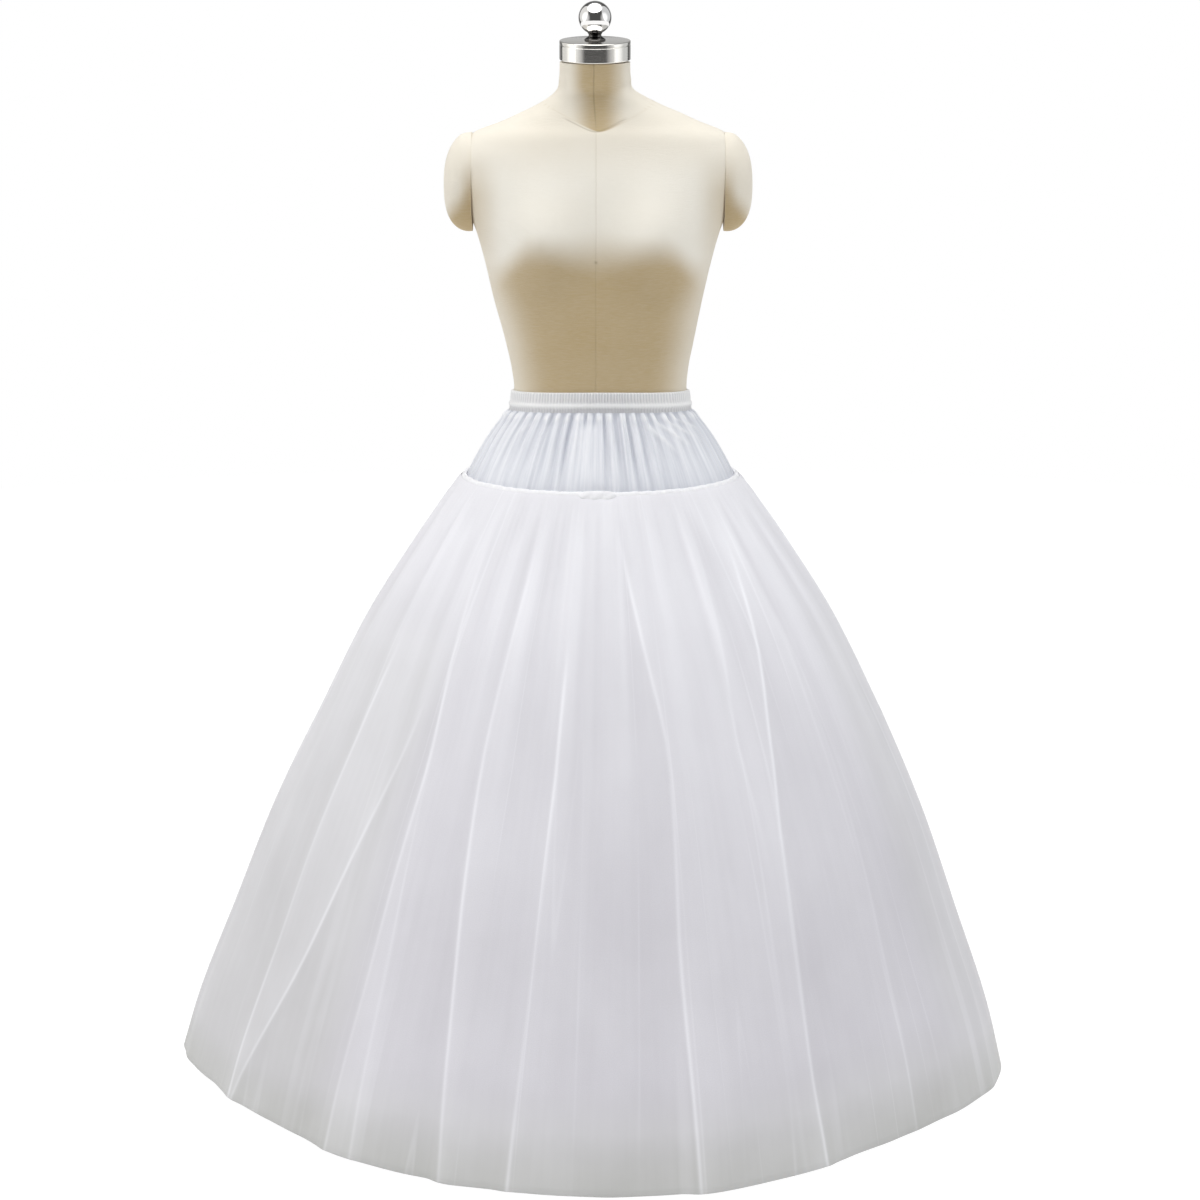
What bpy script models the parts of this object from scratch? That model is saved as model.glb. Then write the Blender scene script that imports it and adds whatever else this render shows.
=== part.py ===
"""A floor-length cancan skirt on a limbless dress form.

The skirt is an elastic waistband, a yoke of gathered satin, a rolled seam binding with its lapped end,
an outer bell of tulle in a front and a back panel, and an inner tier of gathered tulle behind it.
The form is a linen-covered torso with shoulder caps and a chrome neck cap, on a pole and a round base.
Units are metres, +Z is up, the front faces -Y, and the origin is the centre of the base's underside.
"""
import math
from collections import namedtuple

import bmesh
import bpy
from mathutils import Matrix, Vector

# Driving dimensions of the skirt
WAIST_TOP = 0.978
BAND_WIDTH = 0.031
WAIST_TILT = 0.0105
YOKE_SEAM = 0.862
TIER_SEAM = 0.722
HEM = 0.042
INNER_HEM = 0.072
HEM_HALF_WIDTH = 0.566
SEAM_GAP = 0.0003
TULLE_THICKNESS = 0.0012
SATIN_THICKNESS = 0.0012
BINDING_HEIGHT = 0.0088
BINDING_THICKNESS = 0.0064
LAP_HALF_HEIGHT = 0.0056
LAP_RAISE = 0.0012
LAP_THICKNESS = 0.0010
LAP_CENTRE = math.radians(-91.5)
LAP_HALF_SPAN = math.radians(9.5)
BELL_STAND = 0.0074

# Plan of the bell: rounder at the hem than at the waist, turned and leaning a little, with flatter diagonals
WAIST_DEPTH_RATIO = 0.76
SEAM_DEPTH_RATIO = 0.78
HEM_DEPTH_RATIO = 0.884
HEM_TURN = math.radians(-4.0)
HEM_LEAN = -0.013
LEAN_START = 0.40
DIAGONAL_TUCK = 0.055
SIDE_BIAS = 0.9

# Long folds: how narrow and how low they are where they begin, and over how much of the bell they grow
FOLD_TOP_WIDTH = 0.35
FOLD_TOP_LIFT = 0.45
FOLD_GROWTH = 0.35

# Gathers of the yoke and waves of the inner tier
YOKE_GATHERS = 44
YOKE_GATHER_DEPTH = 0.0030
YOKE_SEAM_GATHER = 0.35
YOKE_FLAT_BELOW = 0.060
COLUMNS_PER_GATHER = 3
TIER_WAVES = 24
TIER_WAVE_DEPTH = 0.0040
TIER_WAVE_GROWTH = 0.25
COLUMNS_PER_WAVE = 4
COLUMN_STEP = math.radians(3.6)
BINDING_COLUMNS = 88
BINDING_SIDES = 6

# Driving dimensions of the dress form and its stand
FORM_CLEARANCE = 0.0005
FORM_BOTTOM = 0.700
FORM_COLUMNS = 36
RIB_LINE = 1.10
ARMHOLE_HALF_WIDTH = 0.1655
ARMHOLE_CENTRE_X = -0.003
ARMHOLE_BOTTOM = 1.179
CAP_STICKOUT = 0.0375
CAP_HALF_HEIGHT = 0.0665
CAP_HALF_DEPTH = 0.052
CAP_CENTRE = 1.2555
CAP_SAG = 0.006
CAP_SET_BACK = 0.006
CAP_ROUNDNESS = 0.75
BUST_HEIGHT = 1.183
BUST_SPREAD = 0.078
BUST_DEPTH = 0.031
BUST_HALF_WIDTH = 0.050
BUST_RISE = 0.058
BUST_FALL = 0.046
BUST_WRAP = 1.4
NECK_TOP = 1.4105
NECK_X = -0.007
NECK_Y = -0.004
NECK_CAP_TILT = math.radians(3.5)
NECK_CAP_RADIUS = 0.0465
NECK_CAP_HEIGHT = 0.0250
NECK_CAP_EDGE = 0.0012
KNOB_RADIUS = 0.0215
KNOB_STEM = 0.0125
KNOB_STEM_FLARE = 0.0015
KNOB_STEM_NECK = 0.0035
KNOB_STAND = 0.0075
KNOB_OPEN = math.radians(25.0)
KNOB_ARC = math.radians(150.0)
KNOB_RINGS = 8
POLE_RADIUS = 0.016
BASE_RADIUS = 0.180
BASE_THICKNESS = 0.012
BASE_EDGE = 0.004
BASE_FILLET = 0.010
BASE_BOSS_RADIUS = 0.032
BASE_BOSS_TAPER = 0.008
BASE_BOSS_HEIGHT = 0.046

# Half widths of the cloth and of the form, from the top down
Section = namedtuple("Section", "height half_width")
BELL_SECTIONS = (
    Section(0.8584, 0.1864),
    Section(0.8540, 0.1930),
    Section(0.8450, 0.2010),
    Section(0.8200, 0.2190),
    Section(0.7590, 0.2605),
    Section(0.6900, 0.3045),
    Section(0.5500, 0.3755),
    Section(0.4080, 0.4400),
    Section(0.2640, 0.4935),
    Section(0.1190, 0.5455),
    Section(HEM, HEM_HALF_WIDTH),
)
YOKE_SECTIONS = (
    Section(0.9462, 0.1275),
    Section(0.9230, 0.1455),
    Section(0.8980, 0.1610),
    Section(0.8740, 0.1740),
    Section(YOKE_SEAM, 0.1790),
    Section(0.8000, 0.2120),
    Section(TIER_SEAM - 0.008, 0.2615),
)
TIER_SECTIONS = (
    Section(TIER_SEAM, 0.2587),
    Section(0.6900, 0.2875),
    Section(0.5500, 0.3625),
    Section(0.4080, 0.4280),
    Section(0.2640, 0.4820),
    Section(0.1190, 0.5290),
    Section(INNER_HEM, 0.5440),
)

# Heights at which the walls have a row of points, and rings that the form has between its sections
BELL_ROWS = (BELL_SECTIONS[0].height, 0.8520, 0.8200, 0.7400, 0.6200, 0.4800, 0.3300, 0.1700, HEM)
YOKE_ROWS = (YOKE_SECTIONS[0].height, 0.9340, 0.9050, YOKE_SEAM, 0.7980, YOKE_SECTIONS[-1].height)
TIER_ROWS = (TIER_SEAM, 0.6400, 0.5200, 0.3700, 0.2200, INNER_HEM)
BUST_ROWS = (1.245, 1.205, 1.165, 1.124)

# The form's rings: half width, depth to the front and to the back, how square the ring is (2 is an ellipse),
# and the ring's own centre
FormSection = namedtuple("FormSection", "height half_width front back square centre_x centre_y")
FORM_SECTIONS = (
    FormSection(NECK_TOP, 0.0460, 0.0455, 0.0455, 2.0, -0.0070, -0.0040),
    FormSection(1.3900, 0.0470, 0.0480, 0.0480, 2.0, -0.0070, -0.0020),
    FormSection(1.3740, 0.0510, 0.0520, 0.0520, 2.0, -0.0065, 0.0010),
    FormSection(1.3640, 0.0640, 0.0540, 0.0560, 2.0, -0.0035, 0.0060),
    FormSection(1.3530, 0.0840, 0.0560, 0.0600, 2.0, -0.0015, 0.0090),
    FormSection(1.3430, 0.1060, 0.0590, 0.0640, 2.1, 0.0, 0.0100),
    FormSection(1.3320, 0.1300, 0.0640, 0.0690, 2.2, 0.0, 0.0100),
    FormSection(1.3200, 0.1610, 0.0710, 0.0740, 2.4, -0.0010, 0.0090),
    FormSection(1.3000, 0.1790, 0.0790, 0.0820, 2.6, -0.0030, 0.0080),
    FormSection(1.2640, 0.1800, 0.0890, 0.0920, 2.7, -0.0030, 0.0050),
    FormSection(1.2240, 0.1720, 0.0940, 0.0960, 2.5, -0.0030, 0.0020),
    FormSection(1.1840, 0.1585, 0.0950, 0.0950, 2.25, -0.0030, 0.0),
    FormSection(1.1440, 0.1480, 0.0930, 0.0920, 2.1, -0.0030, 0.0),
    FormSection(1.1040, 0.1390, 0.0930, 0.0890, 2.0, -0.0030, 0.0),
    FormSection(1.0440, 0.1250, 0.0920, 0.0880, 2.0, -0.0010, 0.0),
    FormSection(1.0040, 0.1170, 0.0890, 0.0880, 2.0, -0.0005, 0.0),
    FormSection(0.9790, 0.1148, 0.1148 * WAIST_DEPTH_RATIO, 0.1148 * WAIST_DEPTH_RATIO, 2.0, 0.0, 0.0),
    FormSection(0.9620, 0.1170, 0.1170 * WAIST_DEPTH_RATIO, 0.1170 * WAIST_DEPTH_RATIO, 2.0, 0.0, 0.0),
    FormSection(0.9450, 0.1205, 0.1205 * WAIST_DEPTH_RATIO, 0.1205 * WAIST_DEPTH_RATIO, 2.0, 0.0, 0.0),
    FormSection(0.9000, 0.1320, 0.0980, 0.0990, 2.0, 0.0, 0.0),
    FormSection(0.8400, 0.1490, 0.1060, 0.1130, 2.0, 0.0, 0.0),
    FormSection(0.7700, 0.1640, 0.1100, 0.1250, 2.0, 0.0, 0.0),
    FormSection(0.7200, 0.1600, 0.1080, 0.1220, 2.0, 0.0, 0.0),
    FormSection(FORM_BOTTOM, 0.1480, 0.0980, 0.1100, 2.0, 0.0, 0.0),
)

# The waistband's section, down its outer side: fluted frill, drawn-in elastic, ridge, recess and lower edge
BandPoint = namedtuple("BandPoint", "drop stand")
BAND_OUTLINE = (
    BandPoint(0.0000, 0.0020),
    BandPoint(0.0120, 0.0030),
    BandPoint(0.0145, 0.0044),
    BandPoint(0.0175, 0.0044),
    BandPoint(0.0200, 0.0026),
    BandPoint(0.0265, 0.0028),
    BandPoint(BAND_WIDTH, 0.0042),
)
BAND_FLUTE_DEPTH = 0.0007

# Long folds of the outer tulle. Angles run anticlockwise from the wearer's left, which is +X, so the front
# is -90 degrees. The crest is sharp on one side: +1 towards larger angles, -1 towards smaller ones.
Fold = namedtuple("Fold", "top_angle hem_angle bend lift soft_width sharp_width sharp_side start")
FOLDS = (
    Fold(-152.0, -157.0, 1.0, 0.0028, 0.040, 0.016, -1, 0.22),
    Fold(-128.0, -151.0, 1.0, 0.0024, 0.034, 0.016, 1, 0.30),
    Fold(-136.0, -132.0, 2.0, 0.0042, 0.055, 0.016, -1, 0.06),
    Fold(-117.0, -112.5, 1.0, 0.0050, 0.055, 0.016, -1, 0.08),
    Fold(-99.0, -102.0, 1.0, 0.0035, 0.040, 0.016, -1, 0.20),
    Fold(-84.0, -74.0, 3.0, 0.0050, 0.070, 0.016, -1, 0.06),
    Fold(-36.0, -53.0, 2.5, 0.0060, 0.080, 0.018, 1, 0.05),
    Fold(-30.0, -34.0, 1.0, 0.0020, 0.060, 0.030, 1, 0.20),
    Fold(-8.0, -13.0, 1.0, 0.0050, 0.070, 0.030, -1, 0.25),
    Fold(12.0, 8.0, 1.0, 0.0030, 0.060, 0.022, 1, 0.12),
    Fold(24.0, 29.0, 1.5, 0.0045, 0.070, 0.018, -1, 0.08),
    Fold(50.0, 46.0, 1.0, 0.0050, 0.060, 0.018, 1, 0.16),
    Fold(62.0, 66.0, 2.0, 0.0040, 0.070, 0.020, 1, 0.06),
    Fold(88.0, 83.0, 1.0, 0.0055, 0.070, 0.018, -1, 0.10),
    Fold(103.0, 105.0, 1.0, 0.0038, 0.050, 0.018, 1, 0.22),
    Fold(120.0, 125.0, 2.0, 0.0055, 0.070, 0.018, -1, 0.06),
    Fold(147.0, 143.0, 1.0, 0.0040, 0.060, 0.018, 1, 0.14),
    Fold(158.0, 163.0, 1.5, 0.0035, 0.060, 0.022, -1, 0.10),
    Fold(188.0, 179.0, 1.5, 0.0050, 0.060, 0.026, 1, 0.18),
)

# The hem isn't quite level: it drops or rises a little round some angles. Angles and widths are in degrees.
HemSway = namedtuple("HemSway", "angle width drop")
HEM_SWAYS = (
    HemSway(-160.0, 34.0, -0.0105),
    HemSway(-166.0, 13.0, -0.0060),
    HemSway(-118.0, 20.0, -0.0035),
    HemSway(-76.0, 24.0, 0.0040),
    HemSway(75.0, 40.0, 0.0040),
)

FULL_TURN = 2.0 * math.pi


def curve_through(rows, column):
    """Return a smooth function of height that passes through one column of a table of sections."""
    ordered = sorted(rows, key=lambda row: row.height)
    heights = [row.height for row in ordered]
    values = [getattr(row, column) for row in ordered]
    runs = [(values[i + 1] - values[i]) / (heights[i + 1] - heights[i]) for i in range(len(values) - 1)]
    slopes = [runs[0]]
    for i in range(1, len(runs)):
        before = heights[i] - heights[i - 1]
        after = heights[i + 1] - heights[i]
        slopes.append((runs[i - 1] * after + runs[i] * before) / (before + after))
    slopes.append(runs[-1])

    def value_at(height):
        if height <= heights[0]:
            return values[0] + slopes[0] * (height - heights[0])
        if height >= heights[-1]:
            return values[-1] + slopes[-1] * (height - heights[-1])
        i = max(k for k in range(len(heights) - 1) if heights[k] <= height)
        run = heights[i + 1] - heights[i]
        s = (height - heights[i]) / run
        rise = (3.0 - 2.0 * s) * s * s
        start_slope = s * (1.0 - s) ** 2 * run * slopes[i]
        end_slope = s * s * (s - 1.0) * run * slopes[i + 1]
        return values[i] + (values[i + 1] - values[i]) * rise + start_slope + end_slope

    return value_at


def ease(value, low, high):
    """Rise smoothly from 0 at low to 1 at high."""
    s = min(1.0, max(0.0, (value - low) / (high - low)))
    return s * s * (3.0 - 2.0 * s)


def angle_between(angle, centre):
    return (angle - centre + math.pi) % FULL_TURN - math.pi


def bell_of(angle, centre, width):
    """A smooth hump: 1 at the centre and near 0 two widths away."""
    return math.exp(-((angle_between(angle, centre) / width) ** 2))


def waist_lift(height, angle):
    """The waistline is a tilted plane, higher at the front. It fades out at the yoke seam and the ribs."""
    amount = ease(height, YOKE_SEAM, WAIST_TOP - BAND_WIDTH) * (1.0 - ease(height, WAIST_TOP, RIB_LINE))
    return -WAIST_TILT * math.sin(angle) * amount


def ellipse_reach(angle, half_width, half_depth):
    return half_width * half_depth / math.hypot(half_depth * math.cos(angle), half_width * math.sin(angle))


def bell_fraction(height):
    """0 at the yoke seam and 1 at the hem."""
    return (YOKE_SEAM - height) / (YOKE_SEAM - HEM)


def bell_plan(angle, height, half_width):
    """A point of the skirt's plan at a height: an ellipse that turns, leans and flattens towards the hem."""
    fraction = min(1.0, max(0.0, bell_fraction(height)))
    if height >= YOKE_SEAM:
        band = ease(height, YOKE_SEAM, WAIST_TOP - BAND_WIDTH)
        ratio = SEAM_DEPTH_RATIO + (WAIST_DEPTH_RATIO - SEAM_DEPTH_RATIO) * band
    else:
        ratio = SEAM_DEPTH_RATIO + (HEM_DEPTH_RATIO - SEAM_DEPTH_RATIO) * fraction
    local = angle - HEM_TURN * fraction
    tuck = DIAGONAL_TUCK * fraction * math.sin(2.0 * local) ** 2 * (1.0 + SIDE_BIAS * math.cos(2.0 * local))
    reach = ellipse_reach(local, half_width, half_width * ratio) * (1.0 - tuck)
    lean = HEM_LEAN * max(0.0, fraction - LEAN_START) / (1.0 - LEAN_START)
    return reach, lean


def fold_crest(fold, fraction):
    spread = (1.0 - fraction) ** fold.bend
    return math.radians(fold.hem_angle + (fold.top_angle - fold.hem_angle) * spread)


def fold_lift(angle, fraction, reach):
    """How far the long folds stand out from the bell at one point."""
    lift = 0.0
    for fold in FOLDS:
        away = angle_between(angle, fold_crest(fold, fraction))
        sharp = away * fold.sharp_side > 0.0
        width = fold.sharp_width if sharp else fold.soft_width
        width *= FOLD_TOP_WIDTH + (1.0 - FOLD_TOP_WIDTH) * fraction
        grown = ease(fraction, fold.start, fold.start + FOLD_GROWTH)
        grown *= FOLD_TOP_LIFT + (1.0 - FOLD_TOP_LIFT) * fraction
        lift += fold.lift * grown * math.exp(-((away * reach / width) ** 2))
    return lift


bell_half_width = curve_through(BELL_SECTIONS, "half_width")
yoke_half_width = curve_through(YOKE_SECTIONS, "half_width")
tier_half_width = curve_through(TIER_SECTIONS, "half_width")
BELL_TOP = BELL_SECTIONS[0].height
YOKE_TOP = YOKE_SECTIONS[0].height
YOKE_BOTTOM = YOKE_SECTIONS[-1].height


def hem_drop(angle):
    drop = 0.0
    for sway in HEM_SWAYS:
        drop += sway.drop * bell_of(angle, math.radians(sway.angle), math.radians(sway.width))
    return drop


def outer_tulle_point(angle, fraction):
    height = BELL_TOP + (HEM - BELL_TOP) * fraction
    reach, lean = bell_plan(angle, height, bell_half_width(height) - BELL_STAND)
    reach += BELL_STAND + fold_lift(angle, fraction, reach)
    height -= hem_drop(angle) * fraction ** 4
    return Vector((lean + reach * math.cos(angle), reach * math.sin(angle), height))


def inner_tier_point(angle, fraction):
    height = TIER_SEAM + (INNER_HEM - TIER_SEAM) * fraction
    reach, lean = bell_plan(angle, height, tier_half_width(height))
    reach += TIER_WAVE_DEPTH * 0.5 * math.cos(TIER_WAVES * angle) * ease(fraction, 0.0, TIER_WAVE_GROWTH)
    return Vector((lean + reach * math.cos(angle), reach * math.sin(angle), height))


def yoke_point(angle, fraction):
    height = YOKE_TOP + (YOKE_BOTTOM - YOKE_TOP) * fraction
    reach, lean = bell_plan(angle, height, yoke_half_width(height))
    drawn = YOKE_SEAM_GATHER + (1.0 - YOKE_SEAM_GATHER) * ease(height, YOKE_SEAM, YOKE_TOP)
    below = ease(height, YOKE_SEAM - YOKE_FLAT_BELOW, YOKE_SEAM)
    reach -= YOKE_GATHER_DEPTH * 0.5 * (1.0 - math.cos(YOKE_GATHERS * angle)) * drawn * below
    lift = waist_lift(height, angle)
    return Vector((lean + reach * math.cos(angle), reach * math.sin(angle), height + lift))


def surface_normal(point, angle, fraction):
    """The outward normal of a surface that runs down the body as fraction grows."""
    turn_step = 1e-4
    drop_step = 1e-4
    along = point(angle + turn_step, fraction) - point(angle - turn_step, fraction)
    low = max(0.0, fraction - drop_step)
    high = min(1.0, fraction + drop_step)
    down = point(angle, high) - point(angle, low)
    return down.cross(along).normalized()


def material(name, colour, roughness, metallic=0.0):
    made = bpy.data.materials.new(name)
    made.use_nodes = True
    shader = made.node_tree.nodes["Principled BSDF"]
    shader.inputs["Base Color"].default_value = (*colour, 1.0)
    shader.inputs["Roughness"].default_value = roughness
    shader.inputs["Metallic"].default_value = metallic
    return made


def add_object(name, verts, faces, finish, smooth_angle=40.0):
    mesh = bpy.data.meshes.new(name)
    mesh.from_pydata([tuple(v) for v in verts], [], faces)
    mesh.validate()
    mesh.shade_smooth()
    mesh.set_sharp_from_angle(angle=math.radians(smooth_angle))
    mesh.materials.append(finish)
    made = bpy.data.objects.new(name, mesh)
    bpy.context.collection.objects.link(made)
    return made


def loft(rings, closed_ring=True):
    """Bridge equal rings of points into quads, one band for each pair of neighbouring rings."""
    count = len(rings[0])
    verts = [point for ring in rings for point in ring]
    faces = []
    for r in range(len(rings) - 1):
        for c in range(count if closed_ring else count - 1):
            n = (c + 1) % count
            faces.append((r * count + c, r * count + n, (r + 1) * count + n, (r + 1) * count + c))
    return verts, faces


def cloth_wall(name, point, angles, fractions, thickness, finish, closed=False):
    """A wall of cloth: an outer skin of points, the same points moved in, and edges that join the two."""
    columns = len(angles(0.0))
    outer = []
    inner = []
    for fraction in fractions:
        row = [(angle, point(angle, fraction)) for angle in angles(fraction)]
        outer.append([place for angle, place in row])
        inner.append([place - surface_normal(point, angle, fraction) * thickness for angle, place in row])
    rows = len(fractions)
    verts = [place for ring in outer + inner for place in ring]
    back = rows * columns
    faces = []
    for r in range(rows - 1):
        for c in range(columns if closed else columns - 1):
            n = (c + 1) % columns
            a, b = r * columns + c, r * columns + n
            d, e = a + columns, b + columns
            faces.append((a, d, e, b))
            faces.append((back + a, back + b, back + e, back + d))
    last = (rows - 1) * columns
    for c in range(columns if closed else columns - 1):
        n = (c + 1) % columns
        faces.append((c, n, back + n, back + c))
        faces.append((last + n, last + c, back + last + c, back + last + n))
    if not closed:
        end = columns - 1
        for r in range(rows - 1):
            a, d = r * columns, (r + 1) * columns
            faces.append((a, back + a, back + d, d))
            faces.append((a + end, d + end, back + d + end, back + a + end))
    return add_object(name, verts, faces, finish)


def panel_angles(first, last, steps, half_width):
    """Column angles of a panel, its side edges half a seam gap short of the seam at every height."""
    def at(fraction):
        trim = 0.5 * SEAM_GAP / half_width(fraction)
        low = first + trim
        high = last - trim
        return [low + (high - low) * s for s in steps]
    return at


def even_steps(count):
    return [i / count for i in range(count + 1)]


def fold_steps(first, last):
    """Shares of a panel for its columns: each fold's crest and sharp foot, and even ones between them."""
    span = last - first
    count = round(span / COLUMN_STEP)
    room = 0.45 / count
    own = []
    for fold in FOLDS:
        crest = ((math.radians(fold.hem_angle) - first) % FULL_TURN) / span
        foot = crest + fold.sharp_side * fold.sharp_width * 1.2 / HEM_HALF_WIDTH / span
        own += [share for share in (crest, foot) if room < share < 1.0 - room]
    even = [share for share in even_steps(count) if all(abs(share - other) > room for other in own)]
    return sorted(own + even)


def height_share(heights):
    """0 at the first height and 1 at the last."""
    top, bottom = heights[0], heights[-1]
    return [(top - height) / (top - bottom) for height in heights]


def add_waistband(finish):
    """One closed ring of cased elastic round the form's waist, its top edge fluted by the gathers."""
    columns = YOKE_GATHERS * COLUMNS_PER_GATHER
    form_half_width = curve_through(FORM_SECTIONS, "half_width")

    def place(angle, drop, stand):
        height = WAIST_TOP - drop
        half_width = form_half_width(height)
        reach = ellipse_reach(angle, half_width, half_width * WAIST_DEPTH_RATIO) + FORM_CLEARANCE + stand
        return Vector((reach * math.cos(angle), reach * math.sin(angle), height + waist_lift(height, angle)))

    rings = []
    for drop in (BAND_WIDTH, 0.0):
        rings.append([place(FULL_TURN * c / columns, drop, 0.0) for c in range(columns)])
    for row in BAND_OUTLINE:
        ring = []
        for c in range(columns):
            flute = BAND_FLUTE_DEPTH * (1.0 if c % COLUMNS_PER_GATHER == 0 else -0.5)
            ring.append(place(FULL_TURN * c / columns, row.drop, row.stand + flute))
        rings.append(ring)
    verts, faces = loft(rings)
    first, last = 0, (len(rings) - 1) * columns
    for c in range(columns):
        n = (c + 1) % columns
        faces.append((last + c, last + n, first + n, first + c))
    return add_object("waistband", verts, [face[::-1] for face in faces], finish)


def add_yoke(finish):
    fractions = height_share(YOKE_ROWS)
    half_count = YOKE_GATHERS * COLUMNS_PER_GATHER // 2

    def half_width(fraction):
        return yoke_half_width(YOKE_TOP + (YOKE_BOTTOM - YOKE_TOP) * fraction)

    for name, first, last in (("yoke_front", -math.pi, 0.0), ("yoke_back", 0.0, math.pi)):
        angles = panel_angles(first, last, even_steps(half_count), half_width)
        cloth_wall(name, yoke_point, angles, fractions, SATIN_THICKNESS, finish)


def add_outer_tulle(finish):
    fractions = height_share(BELL_ROWS)

    def half_width(fraction):
        return bell_half_width(BELL_TOP + (HEM - BELL_TOP) * fraction)

    for name, first, last in (("tulle_front", -math.pi, 0.0), ("tulle_back", 0.0, math.pi)):
        angles = panel_angles(first, last, fold_steps(first, last), half_width)
        cloth_wall(name, outer_tulle_point, angles, fractions, TULLE_THICKNESS, finish)


def add_inner_tier(finish):
    fractions = height_share(TIER_ROWS)
    half_count = TIER_WAVES * COLUMNS_PER_WAVE // 2

    def half_width(fraction):
        return tier_half_width(TIER_SEAM + (INNER_HEM - TIER_SEAM) * fraction)

    for name, first, last in (("tier_front", -math.pi, 0.0), ("tier_back", 0.0, math.pi)):
        angles = panel_angles(first, last, even_steps(half_count), half_width)
        cloth_wall(name, inner_tier_point, angles, fractions, TULLE_THICKNESS, finish)


def binding_point(angle, out, up):
    """A point of the rolled binding's section, out from the yoke and up from the section's middle."""
    height = YOKE_SEAM + up
    reach, lean = bell_plan(angle, height, yoke_half_width(height))
    reach += 2.0 * SEAM_GAP + BINDING_THICKNESS / 2.0 + out
    return Vector((lean + reach * math.cos(angle), reach * math.sin(angle), height))


def add_binding(finish):
    """The rolled binding lies round the yoke over the tulle's top edge."""
    rings = []
    for c in range(BINDING_COLUMNS):
        angle = FULL_TURN * c / BINDING_COLUMNS
        ring = []
        for s in range(BINDING_SIDES):
            corner = FULL_TURN * (s + 0.5) / BINDING_SIDES
            out = 0.5 * BINDING_THICKNESS * math.cos(corner)
            ring.append(binding_point(angle, out, 0.5 * BINDING_HEIGHT * math.sin(corner)))
        rings.append(ring)
    rings.append(rings[0])
    verts, faces = loft(rings)
    count = BINDING_COLUMNS * BINDING_SIDES
    faces = [tuple(i % count for i in face[::-1]) for face in faces]
    return add_object("seam_binding", verts[:count], faces, finish)


def add_binding_lap(finish):
    """The binding's lapped end: a short flat tab that lies over it at the centre front."""
    columns = 10
    rows = 3
    blunt_end = 0.05

    def point(angle, fraction):
        end = abs(angle - LAP_CENTRE) / LAP_HALF_SPAN
        half_height = LAP_HALF_HEIGHT * math.sqrt(max(blunt_end, 1.0 - end ** 4))
        up = half_height * (1.0 - 2.0 * fraction) + LAP_RAISE
        out = BINDING_THICKNESS / 2.0 + SEAM_GAP + LAP_THICKNESS
        return binding_point(angle, out, up)

    def angles(fraction):
        return [LAP_CENTRE + LAP_HALF_SPAN * (2.0 * s - 1.0) for s in even_steps(columns)]

    return cloth_wall("binding_lap", point, angles, even_steps(rows), LAP_THICKNESS, finish)


def bust_lift(x, height):
    reach = BUST_RISE if height > BUST_HEIGHT else BUST_FALL
    side = math.exp(-(((abs(x) - BUST_SPREAD) / BUST_HALF_WIDTH) ** 2))
    return BUST_DEPTH * side * math.exp(-(((height - BUST_HEIGHT) / reach) ** 2))


def form_ring(height, columns):
    """One ring of the torso. The armholes are cut flat, and the bust stands out of the front."""
    half_width = form_column["half_width"](height)
    front = form_column["front"](height)
    back = form_column["back"](height)
    centre_x = form_column["centre_x"](height)
    centre_y = form_column["centre_y"](height)
    power = 2.0 / form_column["square"](height)
    ring = []
    for c in range(columns):
        angle = FULL_TURN * c / columns
        depth = back if math.sin(angle) > 0.0 else front
        x = half_width * math.copysign(abs(math.cos(angle)) ** power, math.cos(angle))
        y = depth * math.copysign(abs(math.sin(angle)) ** power, math.sin(angle))
        if math.sin(angle) < 0.0:
            y -= bust_lift(x, height) * min(1.0, -BUST_WRAP * math.sin(angle))
        x += centre_x
        if height > ARMHOLE_BOTTOM:
            x = min(ARMHOLE_CENTRE_X + ARMHOLE_HALF_WIDTH, max(ARMHOLE_CENTRE_X - ARMHOLE_HALF_WIDTH, x))
        ring.append(Vector((x, y + centre_y, height + waist_lift(height, angle))))
    return ring


def add_form(linen):
    heights = [row.height for row in FORM_SECTIONS] + list(BUST_ROWS)
    rings = [form_ring(height, FORM_COLUMNS) for height in sorted(heights, reverse=True)]
    verts, faces = loft(rings)
    last = (len(rings) - 1) * FORM_COLUMNS
    top = tuple(range(FORM_COLUMNS))
    bottom = tuple(last + c for c in range(FORM_COLUMNS - 1, -1, -1))
    faces = [face[::-1] for face in faces]
    return add_object("form_torso", verts, faces + [top, bottom], linen, smooth_angle=60.0)


def add_shoulder_cap(name, side, linen):
    """A short rounded cap over the armhole, a dome that stands out sideways from a flat oval face."""
    columns = 18
    layers = 5
    face_x = ARMHOLE_CENTRE_X + side * (ARMHOLE_HALF_WIDTH + SEAM_GAP)
    rings = []
    for k in range(layers):
        turn = math.pi / 2.0 * k / layers
        out = CAP_STICKOUT * math.sin(turn)
        size = math.cos(turn) ** CAP_ROUNDNESS
        sag = -CAP_SAG * math.sin(turn)
        ring = []
        for c in range(columns):
            angle = FULL_TURN * c / columns
            y = CAP_HALF_DEPTH * size * math.cos(angle) + CAP_SET_BACK
            z = CAP_CENTRE + sag + CAP_HALF_HEIGHT * size * math.sin(angle)
            ring.append(Vector((face_x + side * out, y, z)))
        rings.append(ring)
    verts, faces = loft(rings)
    tip = len(verts)
    verts.append(Vector((face_x + side * CAP_STICKOUT, CAP_SET_BACK, CAP_CENTRE - CAP_SAG)))
    last = (layers - 1) * columns
    for c in range(columns):
        faces.append((last + c, last + (c + 1) % columns, tip))
    faces.append(tuple(range(columns - 1, -1, -1)))
    if side < 0:
        faces = [face[::-1] for face in faces]
    return add_object(name, verts, faces, linen, smooth_angle=60.0)


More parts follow.
